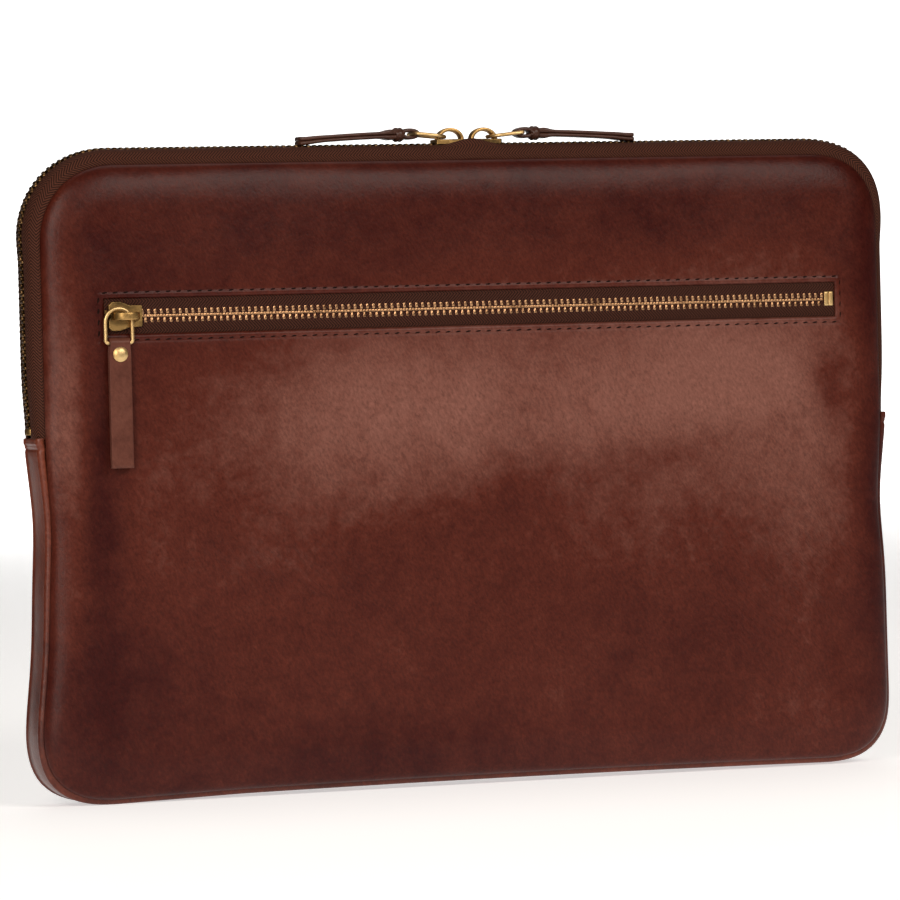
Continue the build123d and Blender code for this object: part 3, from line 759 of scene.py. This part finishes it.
# the gusset takes its patina from the front's clouds, so it carries their painted sheen and painted shade,
# with painted shade down its right side
patina_and_painted_light = gusset.data.attributes.new("patina_and_painted_light", "FLOAT", "POINT")
patina_and_painted_light.data.foreach_set("value", dye_and_painted_light(gusset_points, FRONT_CLOUDS_PAINTED_LIGHT, 0.22).ravel())
finish_piece(gusset, GUSSET_LEATHER, "shell", ["gusset"])
print("gusset stations", len(gusset_stations), "lowest", round(float(lowest), 2))

# %% [markdown]
# ## Main zip tape
# Each half of the tape is sewn under a panel's edge and arches up to the teeth. The arch is a quarter of a
# superellipse, carried along the seam line. Beside the two parked sliders its shoulder stands prouder,
# because the sliders push the tape up and out there.

# %% Make the main zip tapes
TAPE_THICK = 0.7
HUMP = 0.5
SHOULDER = 2.7
MEET_X = (joint_mm("left_ring_lift")[0] + joint_mm("right_ring_lift")[0]) / 2


def tape_section(side):
    """(outward, y) round the arched tape, first over the outside and then back along the inside."""
    angle = np.linspace(0, math.pi / 2, 22)
    swell = 2.3

    def arch(shrink):
        rise = TEETH_OUT + TAPE_THICK / 2 + 0.6 - shrink
        reach = 7.4 - shrink
        return -0.6 + rise * np.cos(angle) ** (2 / swell), 3.4 + reach * np.sin(angle) ** (2 / swell)

    out_n, out_y = arch(0.0)
    in_n, in_y = arch(TAPE_THICK)
    n = np.concatenate([[out_n[0]], out_n, in_n[::-1], [in_n[0]]])
    y = np.concatenate([[3.05], out_y, in_y[::-1], [3.05]])
    section = np.stack([n, y * side], -1)
    return section if side < 0 else section[::-1]


def ridge_lift(distances):
    """How far the ridge stands from its pattern height.

    A bell curve lifts it where the two sliders hold it apart. It lies lower along the sides, where it is
    pressed most, and it dives under the gusset's fold at its two ends.
    """
    s = np.asarray(distances, float)
    from_end = np.minimum(s, ZIP_LENGTH - s)
    lift = HUMP * np.exp(-(((s - ZIP_LENGTH / 2 - MEET_X) / 7.0) ** 2))
    lift -= np.where(s < ZIP_LENGTH / 2, 1.3, 2.0) * (1 - np.clip((from_end - 72) / 40, 0, 1)) ** 2
    lift -= 1.2 * np.exp(-((np.maximum(from_end, 0) / 16) ** 2))
    return lift - 1.1 * np.maximum(-from_end, 0)


tape_stations = np.concatenate([[-4.0, -2.0], np.arange(0.0, ZIP_LENGTH, 2.0), [ZIP_LENGTH, ZIP_LENGTH + 4]])
for side, half in HALVES:
    node = f"zip_tape_{half}"
    section = tape_section(side)
    shoulder = SHOULDER * np.exp(-(((tape_stations - ZIP_LENGTH / 2 - MEET_X) / 9.5) ** 2))
    shoulder = shoulder[:, None] * np.exp(-(((np.abs(section[None, :, 1]) - 6.9) / 1.7) ** 2))
    lift = ridge_lift(tape_stations)[:, None] + shoulder
    tape, _ = band_piece(node + "_weave", section, tape_stations, True, lift)
    finish_half(tape, side, TAPE, "zip_tape", node)
    print(node, "stations", len(tape_stations))

# %% [markdown]
# ## Metal teeth
# A tooth is a scoop of brass pinched on to the tape's corded edge: a broad leg, a waist, and a head that
# hooks under its neighbours from the other row. It is a chamfered rectangle carried across the zip through
# eight stations whose width and thickness change. Hundreds of them share the same few dozen faces.

# %% Tooth shape
def tooth_shape():
    """Points (rows, 8, 3) of one tooth: x along the zip, y across from the middle, z through it."""
    stations = [
        (-0.75, 0.45, 0.75),
        (-0.45, 0.75, 1.0),
        (0.25, 0.75, 1.0),
        (0.55, 0.5, 0.85),
        (0.95, 0.62, 1.2),
        (2.4, 0.66, 1.2),
        (2.85, 0.62, 1.05),
        (3.25, 0.5, 0.75),
    ]
    across, half_wide, half_thick = np.array(stations).T
    cut = 0.22
    corner_x = np.array([1, 1, 1 - cut, -1 + cut, -1, -1, -1 + cut, 1 - cut])
    corner_z = np.array([-1 + cut, 1 - cut, 1, 1, 1 - cut, -1 + cut, -1, -1])
    shape = np.empty((len(stations), 8, 3))
    shape[..., 0] = half_wide[:, None] * corner_x[None, :]
    shape[..., 1] = across[:, None]
    shape[..., 2] = half_thick[:, None] * corner_z[None, :]
    return shape


TOOTH = tooth_shape()
TOOTH_FACES = [tuple(f) for f in grid_faces(len(TOOTH), 8, wrap_columns=True)]
TOOTH_FACES += [tuple(range(7, -1, -1)), tuple((len(TOOTH) - 1) * 8 + i for i in range(8))]
TOOTH_PITCH = 2.7


def place_teeth(origins, along, across, through):
    """Every tooth of a row at once: each point is origin + x * along + y * across + z * through."""
    tooth = TOOTH.reshape(-1, 3)
    points = (
        origins[:, None, :]
        + tooth[None, :, 0:1] * along[:, None, :]
        + tooth[None, :, 1:2] * across[:, None, :]
        + tooth[None, :, 2:3] * through[:, None, :]
    )
    base = np.array([f for f in TOOTH_FACES if len(f) == 4])
    ends = [f for f in TOOTH_FACES if len(f) == 8]
    size = len(tooth)
    faces = (base[None] + np.arange(len(origins))[:, None, None] * size).reshape(-1, 4)
    caps = [tuple(i + k * size for i in f) for k in range(len(origins)) for f in ends]
    return points, faces, caps


def main_row(side):
    """The main zip's teeth on one side: at even steps along the ridge, turned to face outwards."""
    end_stop = 5.0
    spread = (CORNER + TEETH_OUT) / CORNER
    quarter = CORNER * math.pi / 2
    straight = abs(SEAM_TOP - CORNER - FOLD_Z)
    ridge_length = ZIP_LENGTH + 2 * quarter * (spread - 1)
    count = int((ridge_length - 2 * end_stop) / TOOTH_PITCH)
    s = end_stop + TOOTH_PITCH * np.arange(count) + side * TOOTH_PITCH / 4
    d = np.minimum(s, ridge_length - s)
    arc = np.clip(d - straight, 0, quarter * spread)
    d_seam = np.minimum(d, straight) + arc / spread + np.maximum(d - straight - quarter * spread, 0)
    seam_s = np.where(s > ridge_length / 2, ZIP_LENGTH - d_seam, d_seam)
    x, z, nx, nz, _ = seam_line(seam_s, True)
    out = TEETH_OUT + ridge_lift(seam_s)
    origins = np.stack([x + nx * out, np.zeros_like(x), z + nz * out], -1)
    along = np.stack([nz, np.zeros_like(x), -nx], -1) * -side
    across = np.tile([0.0, float(side), 0.0], (count, 1))
    through = np.stack([nx, np.zeros_like(x), nz], -1)
    return origins, along, across, through


for side, half in HALVES:
    node = f"zip_teeth_{half}"
    points, faces, caps = place_teeth(*main_row(side))
    row = to_mesh(node + "_brass", slouch(points), faces, caps=caps)
    finish_half(row, side, DARK_BRASS, "antique_brass", node)
    print(node, "teeth", len(points))

# %% [markdown]
# ## Pocket zip
# The pocket's zip lies flat behind the window. Its tape is the same weave with darker colours, which are
# painted shade where it sits back by the thickness of the leather, and its teeth are the same scoops as those
# of the main zip.

# %% Make the pocket zip
for side, node in ((1, "pocket_tape_upper"), (-1, "pocket_tape_lower")):
    low, high = box_mm(node)
    outer = high[2] if side > 0 else low[2]
    z = np.linspace(POCKET_Z + side * 0.5, outer, 10)
    x = np.arange(low[0], high[0] + 2.0, 2.0)
    grid_x, grid_z = np.meshgrid(x, z, indexing="ij")
    away = np.abs(grid_z - POCKET_Z)
    dip = 0.25 * np.exp(-(((away - 3.9) / 0.8) ** 2)) - 0.2 * np.clip((away - 6) / 6, 0, 1)
    sheet_points = np.stack([grid_x, low[1] - dip, grid_z], -1)
    uv = np.stack([grid_x * MM, away * MM], -1)
    faces = grid_faces(*grid_x.shape)
    faces = faces if side < 0 else faces[:, ::-1]
    tape = to_mesh(node + "_weave", sheet_points, faces[:, ::-1], uv)
    thicken(tape, TAPE_THICK)
    finish_piece(tape, POCKET_TAPE_PAINTED_SHADE, "shell", [node])
    print(node, len(x))

stop_low, stop_high = box_mm("pocket_box_stop")
for side, node in ((1, "pocket_teeth_upper"), (-1, "pocket_teeth_lower")):
    low, high = box_mm(node)
    first = low[0] + 0.625
    count = int((stop_low[0] + 0.1 - first) / TOOTH_PITCH) + 1
    origins = np.zeros((count, 3))
    origins[:, 0] = first + TOOTH_PITCH * np.arange(count)
    origins[:, 1] = (low[1] + high[1]) / 2
    origins[:, 2] = POCKET_Z
    along = np.tile([float(side), 0.0, 0.0], (count, 1))
    across = np.tile([0.0, 0.0, float(side)], (count, 1))
    through = np.tile([0.0, -1.0, 0.0], (count, 1))
    points, faces, caps = place_teeth(origins, along, across, through)
    row = to_mesh(node + "_brass", points, faces, caps=caps)
    finish_piece(row, TEETH_BRASS, "shell", [node])
    print(node, "teeth", count)

# %% [markdown]
# ## Stitches
# Each stitch is a short length of thread pulled down into its two holes, so it is thickest in the middle
# and its ends dive below the leather. It is a small tube whose radius and height follow half a sine wave.

# %% Make the stitches
THREAD_THICK = 0.8
THREAD_SINK = 0.6


def stitch_rows(ends_a, ends_b, normal):
    """One small tube from each point of ends_a to the same of ends_b, arched along normal."""
    t = np.linspace(0, 1, 7)
    ring = np.linspace(0, 2 * math.pi, 8, endpoint=False)
    a, b = np.asarray(ends_a, float), np.asarray(ends_b, float)
    normal = np.asarray(normal, float)
    along = (b - a) / np.linalg.norm(b - a, axis=1, keepdims=True)
    side = np.cross(along, normal)
    arch = np.sin(t * math.pi) ** 0.7
    centre = a[:, None] + (b - a)[:, None] * t[None, :, None]
    centre = centre + normal * (THREAD_SINK * (arch - 1))[None, :, None]
    radius = THREAD_THICK / 2 * (0.55 + 0.45 * arch)
    spoke = side[:, None, None] * np.cos(ring)[None, None, :, None]
    spoke = spoke + normal * np.sin(ring)[None, None, :, None]
    points = centre[:, :, None] + spoke * radius[None, :, None, None]
    count, rows, columns = points.shape[:3]
    base = grid_faces(rows, columns, wrap_columns=True)
    faces = (base[None] + np.arange(count)[:, None, None] * rows * columns).reshape(-1, 4)
    ends = (tuple(range(columns - 1, -1, -1)), tuple((rows - 1) * columns + i for i in range(columns)))
    caps = [tuple(i + k * rows * columns for i in f) for k in range(count) for f in ends]
    uv = np.zeros(points.shape[:3] + (2,))
    uv[..., 0] = (t * 3.4 * MM)[None, :, None]
    uv[..., 1] = (ring / (2 * math.pi) * 2 * MM)[None, None, :]
    return points, faces, caps, uv


STITCH = 3.3
STITCH_PITCH = 4.5
SLANT = 0.28
frame_x, frame_z = (stitch_high[0] - stitch_low[0]) / 2 - 0.35, (stitch_high[2] - stitch_low[2]) / 2 - 0.35
ends = {-1: [], 1: []}
for side in (-1, 1):
    for half, upright in ((frame_x, False), (frame_z, True)):
        count = int(2 * half / STITCH_PITCH)
        row = (np.arange(count) - (count - 1) / 2) * STITCH_PITCH
        for way in (-1, 1):
            run = row + way * STITCH / 2
            line = np.full(count, side * (frame_x if upright else frame_z) + way * SLANT)
            x, z = (line, run) if upright else (run, line)
            ends[way].append(np.stack([POCKET_X + x, np.full(count, -FACE + 0.12), POCKET_Z + z], -1))
points, faces, caps, uv = stitch_rows(np.concatenate(ends[-1]), np.concatenate(ends[1]), (0.0, -1.0, 0.0))
stitching = to_mesh("pocket_stitches", points, faces, uv, caps)
finish_piece(stitching, THREAD, "shell", ["pocket_stitching"])

low, high = box_mm("gusset_end_stitches")
y = np.array([-7.0, -3.5, 0.0, 3.5, 7.0])
parts = []
for side in (-1, 1):
    x = np.full(5, side * (SEAM_X + GUSSET_OUT - 0.15))
    z = np.full(5, (low[2] + high[2]) / 2)
    points, faces, caps, _ = stitch_rows(
        np.stack([x, y - 1.1, z], -1), np.stack([x, y + 1.1, z], -1), (float(side), 0.0, 0.0)
    )
    parts.append((points, [tuple(f) for f in faces] + list(caps)))
points, faces = join_parts(parts)
end_stitches = to_mesh("gusset_end_thread", points, faces, uv=np.zeros((len(points), 2)))
finish_piece(end_stitches, THREAD, "shell", ["gusset_end_stitches"])
print("stitches", len(stitching.data.vertices))

# %% [markdown]
# ## Linings, padding and pocket bag
# Inside, a brushed lining is stretched over each foam pad and caught in the seam with the zip tape. They
# are the same surface as a panel with other sizes: the lining's rim is at the seam and its middle stands in
# towards the laptop.


LINING_THICK = 0.5
for side, half in HALVES:
    nodes = layer_nodes(side, "lining")
    low, high = box_mm(nodes[-1])
    inner_y = high[1] if side == FRONT else -low[1]
    points, faces = panel_surface(1.6, inner_y, -SEAM_HALF + 1.2, edge=9.0, step=6.0, turn_under=0.4)
    points = points if side == FRONT else turned_round(points)
    lining = to_mesh(f"{half}_lining_cloth", slouch(points), faces[:, ::-1])
    thicken(lining, LINING_THICK)
    finish_half(lining, side, LINING, "lining", *nodes)


def follow_panel(points, side):
    """Moves points in or out by what the slouch does to the panel outside them. side is -1 front, +1 back."""
    p = np.array(points, float)
    outside = p.copy()
    outside[..., 1] = side * FACE
    p[..., 1] += slouch(outside)[..., 1] - side * FACE
    return p


# side, inset, how far its middle and its rim are sunk, edge, grid step, thickness
PADS = ((FRONT, 6.0, 0.0, 0.6, 8.0, 8.0, 2.4), (BACK, 9.0, 0.3, 1.6, 9.0, 6.0, 1.8))
for side, inset, sunk, drop, edge, step, thick in PADS:
    nodes = layer_nodes(side, "padding")
    low, high = box_mm(nodes[-1])
    outer_y = low[1] if side == FRONT else -high[1]
    points, faces = panel_surface(inset, outer_y + sunk, outer_y + drop, edge=edge, step=step, turn_under=0.3)
    points = points if side == FRONT else follow_panel(turned_round(points), BACK)
    pad = to_mesh("front_foam_pad" if side == FRONT else "back_foam_pad", points, faces)
    thicken(pad, thick)
    finish_half(pad, side, FOAM, "foam", *nodes)

for node in ("pocket_bag_front", "pocket_bag_back"):
    low, high = box_mm(node)
    x = np.linspace(low[0], high[0], 60)
    z = np.linspace(low[2], high[2], 40)
    grid_x, grid_z = np.meshgrid(x, z)
    middle = low[1] + 0.2 if node.endswith("front") else high[1] - 0.2
    ripple = 0.12 * np.sin(grid_x / 19) * np.sin(grid_z / 27)
    sheet_points = np.stack([grid_x, middle - 0.2 + ripple, grid_z], -1)
    bag = to_mesh(node + "_cloth", follow_panel(sheet_points, FRONT), grid_faces(*grid_x.shape))
    thicken(bag, 0.3)
    finish_piece(bag, BAG_CLOTH, "shell", [node])

lining_section = [(-1.35, -9.6), (-1.35, 0.0), (-1.35, 9.6), (-0.95, 9.6), (-0.95, 0.0), (-0.95, -9.6)]
lining_stations = np.arange(2.0, GUSSET_LENGTH - 2.0, 4.0)
gusset_lining, _ = band_piece("gusset_lining_cloth", lining_section, lining_stations, False)
finish_piece(gusset_lining, LINING, "shell", ["gusset_lining"])
print("inner layers done")

# %% [markdown]
# ## Strap pulls of the main zip
# Each pull is one strip of strap leather. Its slit end is looped round the ring's bar and drawn through
# itself, which leaves an open loop and two plies that cross, and the rest lies along the zip. A rounded
# rectangle is carried along the strip's middle line, and two slanted bands make the crossing.

# %% Strip shapes
def rounded_rectangle(power):
    """Outline of a rounded rectangle: a superellipse, whose cosine and sine take the power 2 / power."""
    a = np.linspace(0, 2 * math.pi, 20, endpoint=False)
    return [np.sign(v) * np.abs(v) ** (2 / power) for v in (np.cos(a), np.sin(a))]


def strip(centre, across, width, thick, closed=False, power=4.0):
    """A strip along centre points, with across the unit direction of its width. Returns points and faces."""
    centre = np.asarray(centre, float)
    if closed:
        tangent = np.roll(centre, -1, 0) - np.roll(centre, 1, 0)
    else:
        tangent = np.gradient(centre, axis=0)
    tangent /= np.linalg.norm(tangent, axis=1, keepdims=True)
    across = np.broadcast_to(np.asarray(across, float), centre.shape)
    normal = np.cross(tangent, across)
    u, v = rounded_rectangle(power)
    width = np.broadcast_to(np.asarray(width, float), len(centre))
    thick = np.broadcast_to(np.asarray(thick, float), len(centre))
    points = (
        centre[:, None]
        + across[:, None] * (u[None, :] * width[:, None] / 2)[..., None]
        + normal[:, None] * (v[None, :] * thick[:, None] / 2)[..., None]
    )
    rows, columns = points.shape[:2]
    faces = [tuple(f) for f in grid_faces(rows, columns, wrap_rows=closed, wrap_columns=True)[:, ::-1]]
    if not closed:
        faces += [tuple(range(columns)), tuple((rows - 1) * columns + i for i in reversed(range(columns)))]
    return points, faces


STRAP_REACH = 50.6


def strap_pull(hand):
    """Loop, knot and strip of one pull. hand is -1 for the left pull and +1 for the right one.

    With d the distance from the ring's bar, the strip sinks in a straight line and bows up by half a sine. A
    bell curve narrows it at the knot, 7.5 mm out, and another thickens it just beyond.
    """
    bar = joint_mm("left_pull_lift" if hand < 0 else "right_pull_lift")
    out = np.array([float(hand), 0.0, 0.0])
    up = np.array([0.0, 0.0, 1.0])
    turn = np.linspace(0, 2 * math.pi, 32, endpoint=False)
    loop = bar + 1.9 * out + 3.7 * np.cos(turn)[:, None] * out + 1.55 * np.sin(turn)[:, None] * up
    parts = [strip(loop, (0.0, 1.0, 0.0), 6.4, 1.7, closed=True)]
    d = np.linspace(0.0, STRAP_REACH, 60)
    rise = -0.045 * d + 0.35 * np.sin(d / STRAP_REACH * math.pi)
    rise -= 0.25 * np.exp(-(((d - STRAP_REACH + 2.5) / 4) ** 2))
    centre = bar + d[:, None] * out + rise[:, None] * up
    width = 8.0 - 1.8 * np.exp(-(((d - 7.5) / 3.0) ** 2))
    ply = 1.45 + 0.8 * np.exp(-(((d - 10.5) / 2.6) ** 2)) + 0.35 * np.clip((d - 38) / 12, 0, 1)
    for way in (-1, 1):
        layer = centre + (way * ply / 2)[:, None] * up
        parts.append(strip(layer[5:], (0.0, 1.0, 0.0), width[5:] - 0.15 * (way + 1), ply[5:] * 1.04))
    for slant in (-0.75, 0.75):
        middle = bar + 6.6 * out - 0.25 * up
        wrap = middle + 3.3 * np.sin(turn)[:, None] * np.array([0.0, 1.0, 0.0])
        wrap = wrap + 2.05 * np.cos(turn)[:, None] * (up + slant * out)
        side = (out - slant * up) / np.linalg.norm(out - slant * up)
        parts.append(strip(wrap, side, 2.6, 1.2, closed=True, power=3.0))
    return join_parts(parts)


for hand, name in ((-1, "left"), (1, "right")):
    points, faces = strap_pull(hand)
    pull = to_mesh(f"{name}_strap_pull", points, faces, values={"patina_and_painted_light": np.full(len(points), 0.3)})
    finish_piece(pull, STRAP_LEATHER, f"{name}_pull", [f"{name}_leather_pull"])
    print(name, "pull points", len(points))

# %% [markdown]
# ## Pocket tab
# The tab is one strip folded over the ring's bar and riveted to itself, so two layers show along its edges
# and the fold swells round the wire. The strip's middle line goes up the front, over the bar and down the
# back.

# %% Make the tab
bar = joint_mm("pocket_tab_lift")
tab_low, tab_high = box_mm("pocket_leather_tab")
TAB_DROP = bar[2] - tab_low[2]
LAYER = 1.32
FOLD_RADIUS = 0.8 + LAYER / 2


def tab_line():
    """(y, z) of the folded strip from the bar: half a circle over the wire, and legs that close in below."""
    down = np.linspace(TAB_DROP, 0.0, 40)
    leg = LAYER / 2 + 0.03 + (FOLD_RADIUS - LAYER / 2) * np.exp(-((down / 2.6) ** 2))
    turn = np.linspace(0, math.pi, 14)[1:-1]
    y = np.concatenate([-leg, -FOLD_RADIUS * np.cos(turn), leg[::-1]])
    y = np.minimum(y, FOLD_RADIUS - 0.26)
    z = np.concatenate([-down, FOLD_RADIUS * np.sin(turn), -down[::-1]])
    return y, z


y, z = tab_line()
centre = np.stack([np.full_like(y, bar[0]), bar[1] + y, bar[2] + z], -1)
width = tab_high[0] - tab_low[0] - 0.8 * np.clip((z + 4.2) / 2.6, 0, 1) ** 1.5
points, faces = strip(centre, (1.0, 0.0, 0.0), width, LAYER, power=7.0)
tab = to_mesh("pocket_tab_leather", points, faces, values={"patina_and_painted_light": np.full(points.shape[:2], 0.42)})
finish_piece(tab, TAB_LEATHER, "pocket_tab", ["pocket_leather_tab"])
print("tab drop", round(float(TAB_DROP), 1))

# %% [markdown]
# ## Slider bridges
# A bridge is a strap of brass bent into an arch over the slider, with an eye below it for the ring. Its
# middle line is half an ellipse, and the strap's section is the same rounded rectangle as the leather
# strips.

# %% Make the bridges
ARCH_HALF = 5.2
ARCH_RISE = 4.15


def bridge(middle, along, up, width):
    """A half ellipse from end to end of the arch, in the plane of along and up."""
    turn = np.linspace(-0.12, math.pi + 0.12, 40)
    centre = (
        np.asarray(middle, float)
        + ARCH_HALF * np.cos(turn)[:, None] * np.asarray(along, float)
        + ARCH_RISE * np.sin(turn)[:, None] * np.asarray(up, float)
    )
    return strip(centre, np.cross(up, along), width, 1.55, power=5.0)


for name, along, up in (
    ("left", (-1.0, 0.0, 0.0), (0.0, 0.0, 1.0)),
    ("right", (1.0, 0.0, 0.0), (0.0, 0.0, 1.0)),
    ("pocket", (1.0, 0.0, 0.0), (0.0, -1.0, 0.0)),
):
    low, high = box_mm(f"{name}_slider_bridge")
    top = np.where(np.array(up) > 0, high, np.where(np.array(up) < 0, low, (low + high) / 2))
    points, faces = bridge(top - 4.9 * np.array(up), along, up, 3.2 if name == "pocket" else 4.4)
    arch = to_mesh(f"{name}_bridge_brass", points, faces)
    finish_piece(arch, RUBBED_BRASS, f"{name}_slider", [f"{name}_slider_bridge"])
    print(name, "bridge points", len(points))

# %% [markdown]
# ## Stops
# An end stop is a small staple of brass closed over both rows where they meet the gusset. The pocket's box
# stop is a folded plate, whose two halves leave a groove between them.

# %% Make the stops
for side, name in ((-1, "left"), (1, "right")):
    s = np.array([2.6 if side < 0 else ZIP_LENGTH - 2.6])
    x, z, nx, nz, _ = seam_line(s, True)
    out = TEETH_OUT + ridge_lift(s)
    middle = np.array([(x + nx * out)[0], 0.0, (z + nz * out)[0]])
    turn = np.linspace(0, math.pi, 16)
    staple = middle + 3.0 * np.cos(turn)[:, None] * np.array([0.0, 1.0, 0.0])
    staple = staple + 1.3 * np.sin(turn)[:, None] * np.array([float(side), 0.0, 0.0])
    points, faces = strip(staple, (0.0, 0.0, 1.0), 2.6, 1.0)
    stop = to_mesh(f"end_stop_{name}_brass", slouch(points), faces)
    finish_piece(stop, ANTIQUE_BRASS, "shell", [f"zip_end_stop_{name}"])
    print(stop.name, [round(float(v), 1) for v in middle])

middle = (stop_low + stop_high) / 2 + np.array([0.6, 0.0, 0.3])
parts = []
for side in (-1, 1):
    z = np.linspace(-3.0, 3.0, 9)
    line = middle + np.stack([np.full(9, side * 1.02), np.zeros(9), z], -1)
    parts.append(strip(line, (1.0, 0.0, 0.0), 2.1, 3.0, power=6.0))
points, faces = join_parts(parts)
box_stop = to_mesh("pocket_box_stop_brass", points, faces)
finish_piece(box_stop, BRIGHT_BRASS, "shell", ["pocket_box_stop"])

# %% [markdown]
# ## Rivet cap
# The cap is a thin dome pressed over its post. Its profile, a flattened arch, is turned about its middle.

# %% Make the rivet cap
low, high = box_mm("pocket_rivet_cap")
middle = (low + high) / 2
dome_radius, dome_height = (high[0] - low[0]) / 2, high[1] - low[1]
share = np.concatenate([np.linspace(0.02, 0.9, 12), [0.96, 0.99, 1.0, 1.0]])
rise = np.append(dome_height * (1 - 0.82 * share[:-1] ** 2.6), 0.0)
turn = np.linspace(0, 2 * math.pi, 40, endpoint=False)
points = np.empty((len(share), 40, 3))
points[..., 0] = middle[0] + dome_radius * share[:, None] * np.cos(turn)
points[..., 1] = high[1] - rise[:, None]
points[..., 2] = middle[2] + dome_radius * share[:, None] * np.sin(turn)
caps = [tuple(range(40)), tuple(40 * (len(share) - 1) + i for i in reversed(range(40)))]
cap = to_mesh("rivet_cap_brass", points, grid_faces(len(share), 40, wrap_columns=True)[:, ::-1], caps=caps)
finish_piece(cap, BRIGHT_BRASS, "pocket_tab", ["pocket_rivet_cap"])
print("dome", round(float(dome_radius), 2), round(float(dome_height), 2))

# %% [markdown]
# ## Cast and pressed parts
# Slider bodies, rings and the rivet's post already have their shape in the model. They keep it and only get
# a finish, put into the material slots of the model's own objects.

# %% Finish the metal parts
FINISHES = {
    ANTIQUE_BRASS: [
        "left_slider_body", "right_slider_body", "pocket_slider_body", "pocket_top_stops",
    ],
    BRIGHT_BRASS: [
        "left_pull_ring", "right_pull_ring", "pocket_pull_ring", "pocket_rivet_post",
    ],
}
for material, nodes in FINISHES.items():
    for node in nodes:
        shown = frame["nodes"][node]
        shown.data.materials.clear()
        shown.data.materials.append(material)
print("finished", sum(len(n) for n in FINISHES.values()), "metal parts")

# %% [markdown]
# ## Studio
# The sleeve stands on a lit white tabletop before a white backdrop, under three large soft lights, with a
# long lens a little to its left and almost level with it. The left light is the closest to the side, so the
# rounded left edge glows and the right one falls into shade.

# %% Floor, lights and camera
def backlit_acrylic(name, strength):
    """White acrylic lit from behind: a white surface that also gives off its own even light."""
    material, tree, shader = new_material(name)
    shader.inputs["Base Color"].default_value = linear("#f4f4f4")
    shader.inputs["Roughness"].default_value = 0.8
    shader.inputs["Emission Color"].default_value = (1.0, 1.0, 1.0, 1.0)
    shader.inputs["Emission Strength"].default_value = strength
    return material


ground = min(0.0, float(lowest)) - 0.05
table_corners = [[-620, -640, ground], [2600, -640, ground], [2600, 3000, ground], [-620, 3000, ground]]
table = to_mesh("studio_table", table_corners, [(0, 1, 2, 3)])
table.data.materials.append(backlit_acrylic("frosted_white_tabletop", 0.5))
wall_corners = [[300, 3000, ground], [2600, 3000, ground], [2600, 3000, 1800], [300, 3000, 1800]]
wall = to_mesh("studio_backdrop", wall_corners, [(3, 2, 1, 0)])
wall.data.materials.append(backlit_acrylic("backlit_white_acrylic", 1.0))


def area_light(name, place, aim, size, power, colour):
    """A rectangular soft light at place, facing aim, both in metres."""
    lamp = bpy.data.lights.new(name, "AREA")
    lamp.shape = "RECTANGLE"
    lamp.size, lamp.size_y = size
    lamp.energy = power
    lamp.color = colour
    holder = bpy.data.objects.new(name, lamp)
    bpy.context.collection.objects.link(holder)
    holder.location = place
    holder.rotation_euler = (Vector(aim) - Vector(place)).to_track_quat("-Z", "Y").to_euler()
    return holder


middle = (0.0, 0.0, 0.14)
warm = (1.0, 0.93, 0.86)
area_light("key_softbox", (-1.3, -1.6, 0.8), middle, (0.7, 1.4), 24, warm)
area_light("front_softbox", (0.7, -1.9, 1.3), middle, (1.2, 0.8), 23, warm)
area_light("top_softbox", (0.1, 0.5, 1.9), middle, (1.6, 1.0), 6, warm)

world = bpy.data.worlds.new("studio_air")
bpy.context.scene.world = world
world.use_nodes = True
sky = world.node_tree.nodes["Background"]
sky.inputs["Color"].default_value = (1.0, 0.85, 0.72, 1.0)
sky.inputs["Strength"].default_value = 0.06

AZIMUTH, ELEVATION, ROLL = math.radians(-20.085), math.radians(1.251), math.radians(-1.48)
DISTANCE = 2.2899
TARGET = Vector((-0.007, 0.0, 0.1395))
back = Vector((
    math.sin(AZIMUTH) * math.cos(ELEVATION),
    -math.cos(AZIMUTH) * math.cos(ELEVATION),
    math.sin(ELEVATION),
))
lens = bpy.data.cameras.new("long_lens")
lens.sensor_width = 36.0
lens.lens = 218.5
camera = bpy.data.objects.new("long_lens", lens)
bpy.context.collection.objects.link(camera)
aim = (-back).to_track_quat("-Z", "Y").to_matrix() @ Matrix.Rotation(ROLL, 3, "Z")
camera.matrix_world = Matrix.Translation(TARGET + back * DISTANCE) @ aim.to_4x4()
lens.clip_end = 20.0
bpy.context.scene.camera = camera
bpy.context.scene.view_settings.view_transform = "Standard"
print("camera", [round(v, 3) for v in camera.location])
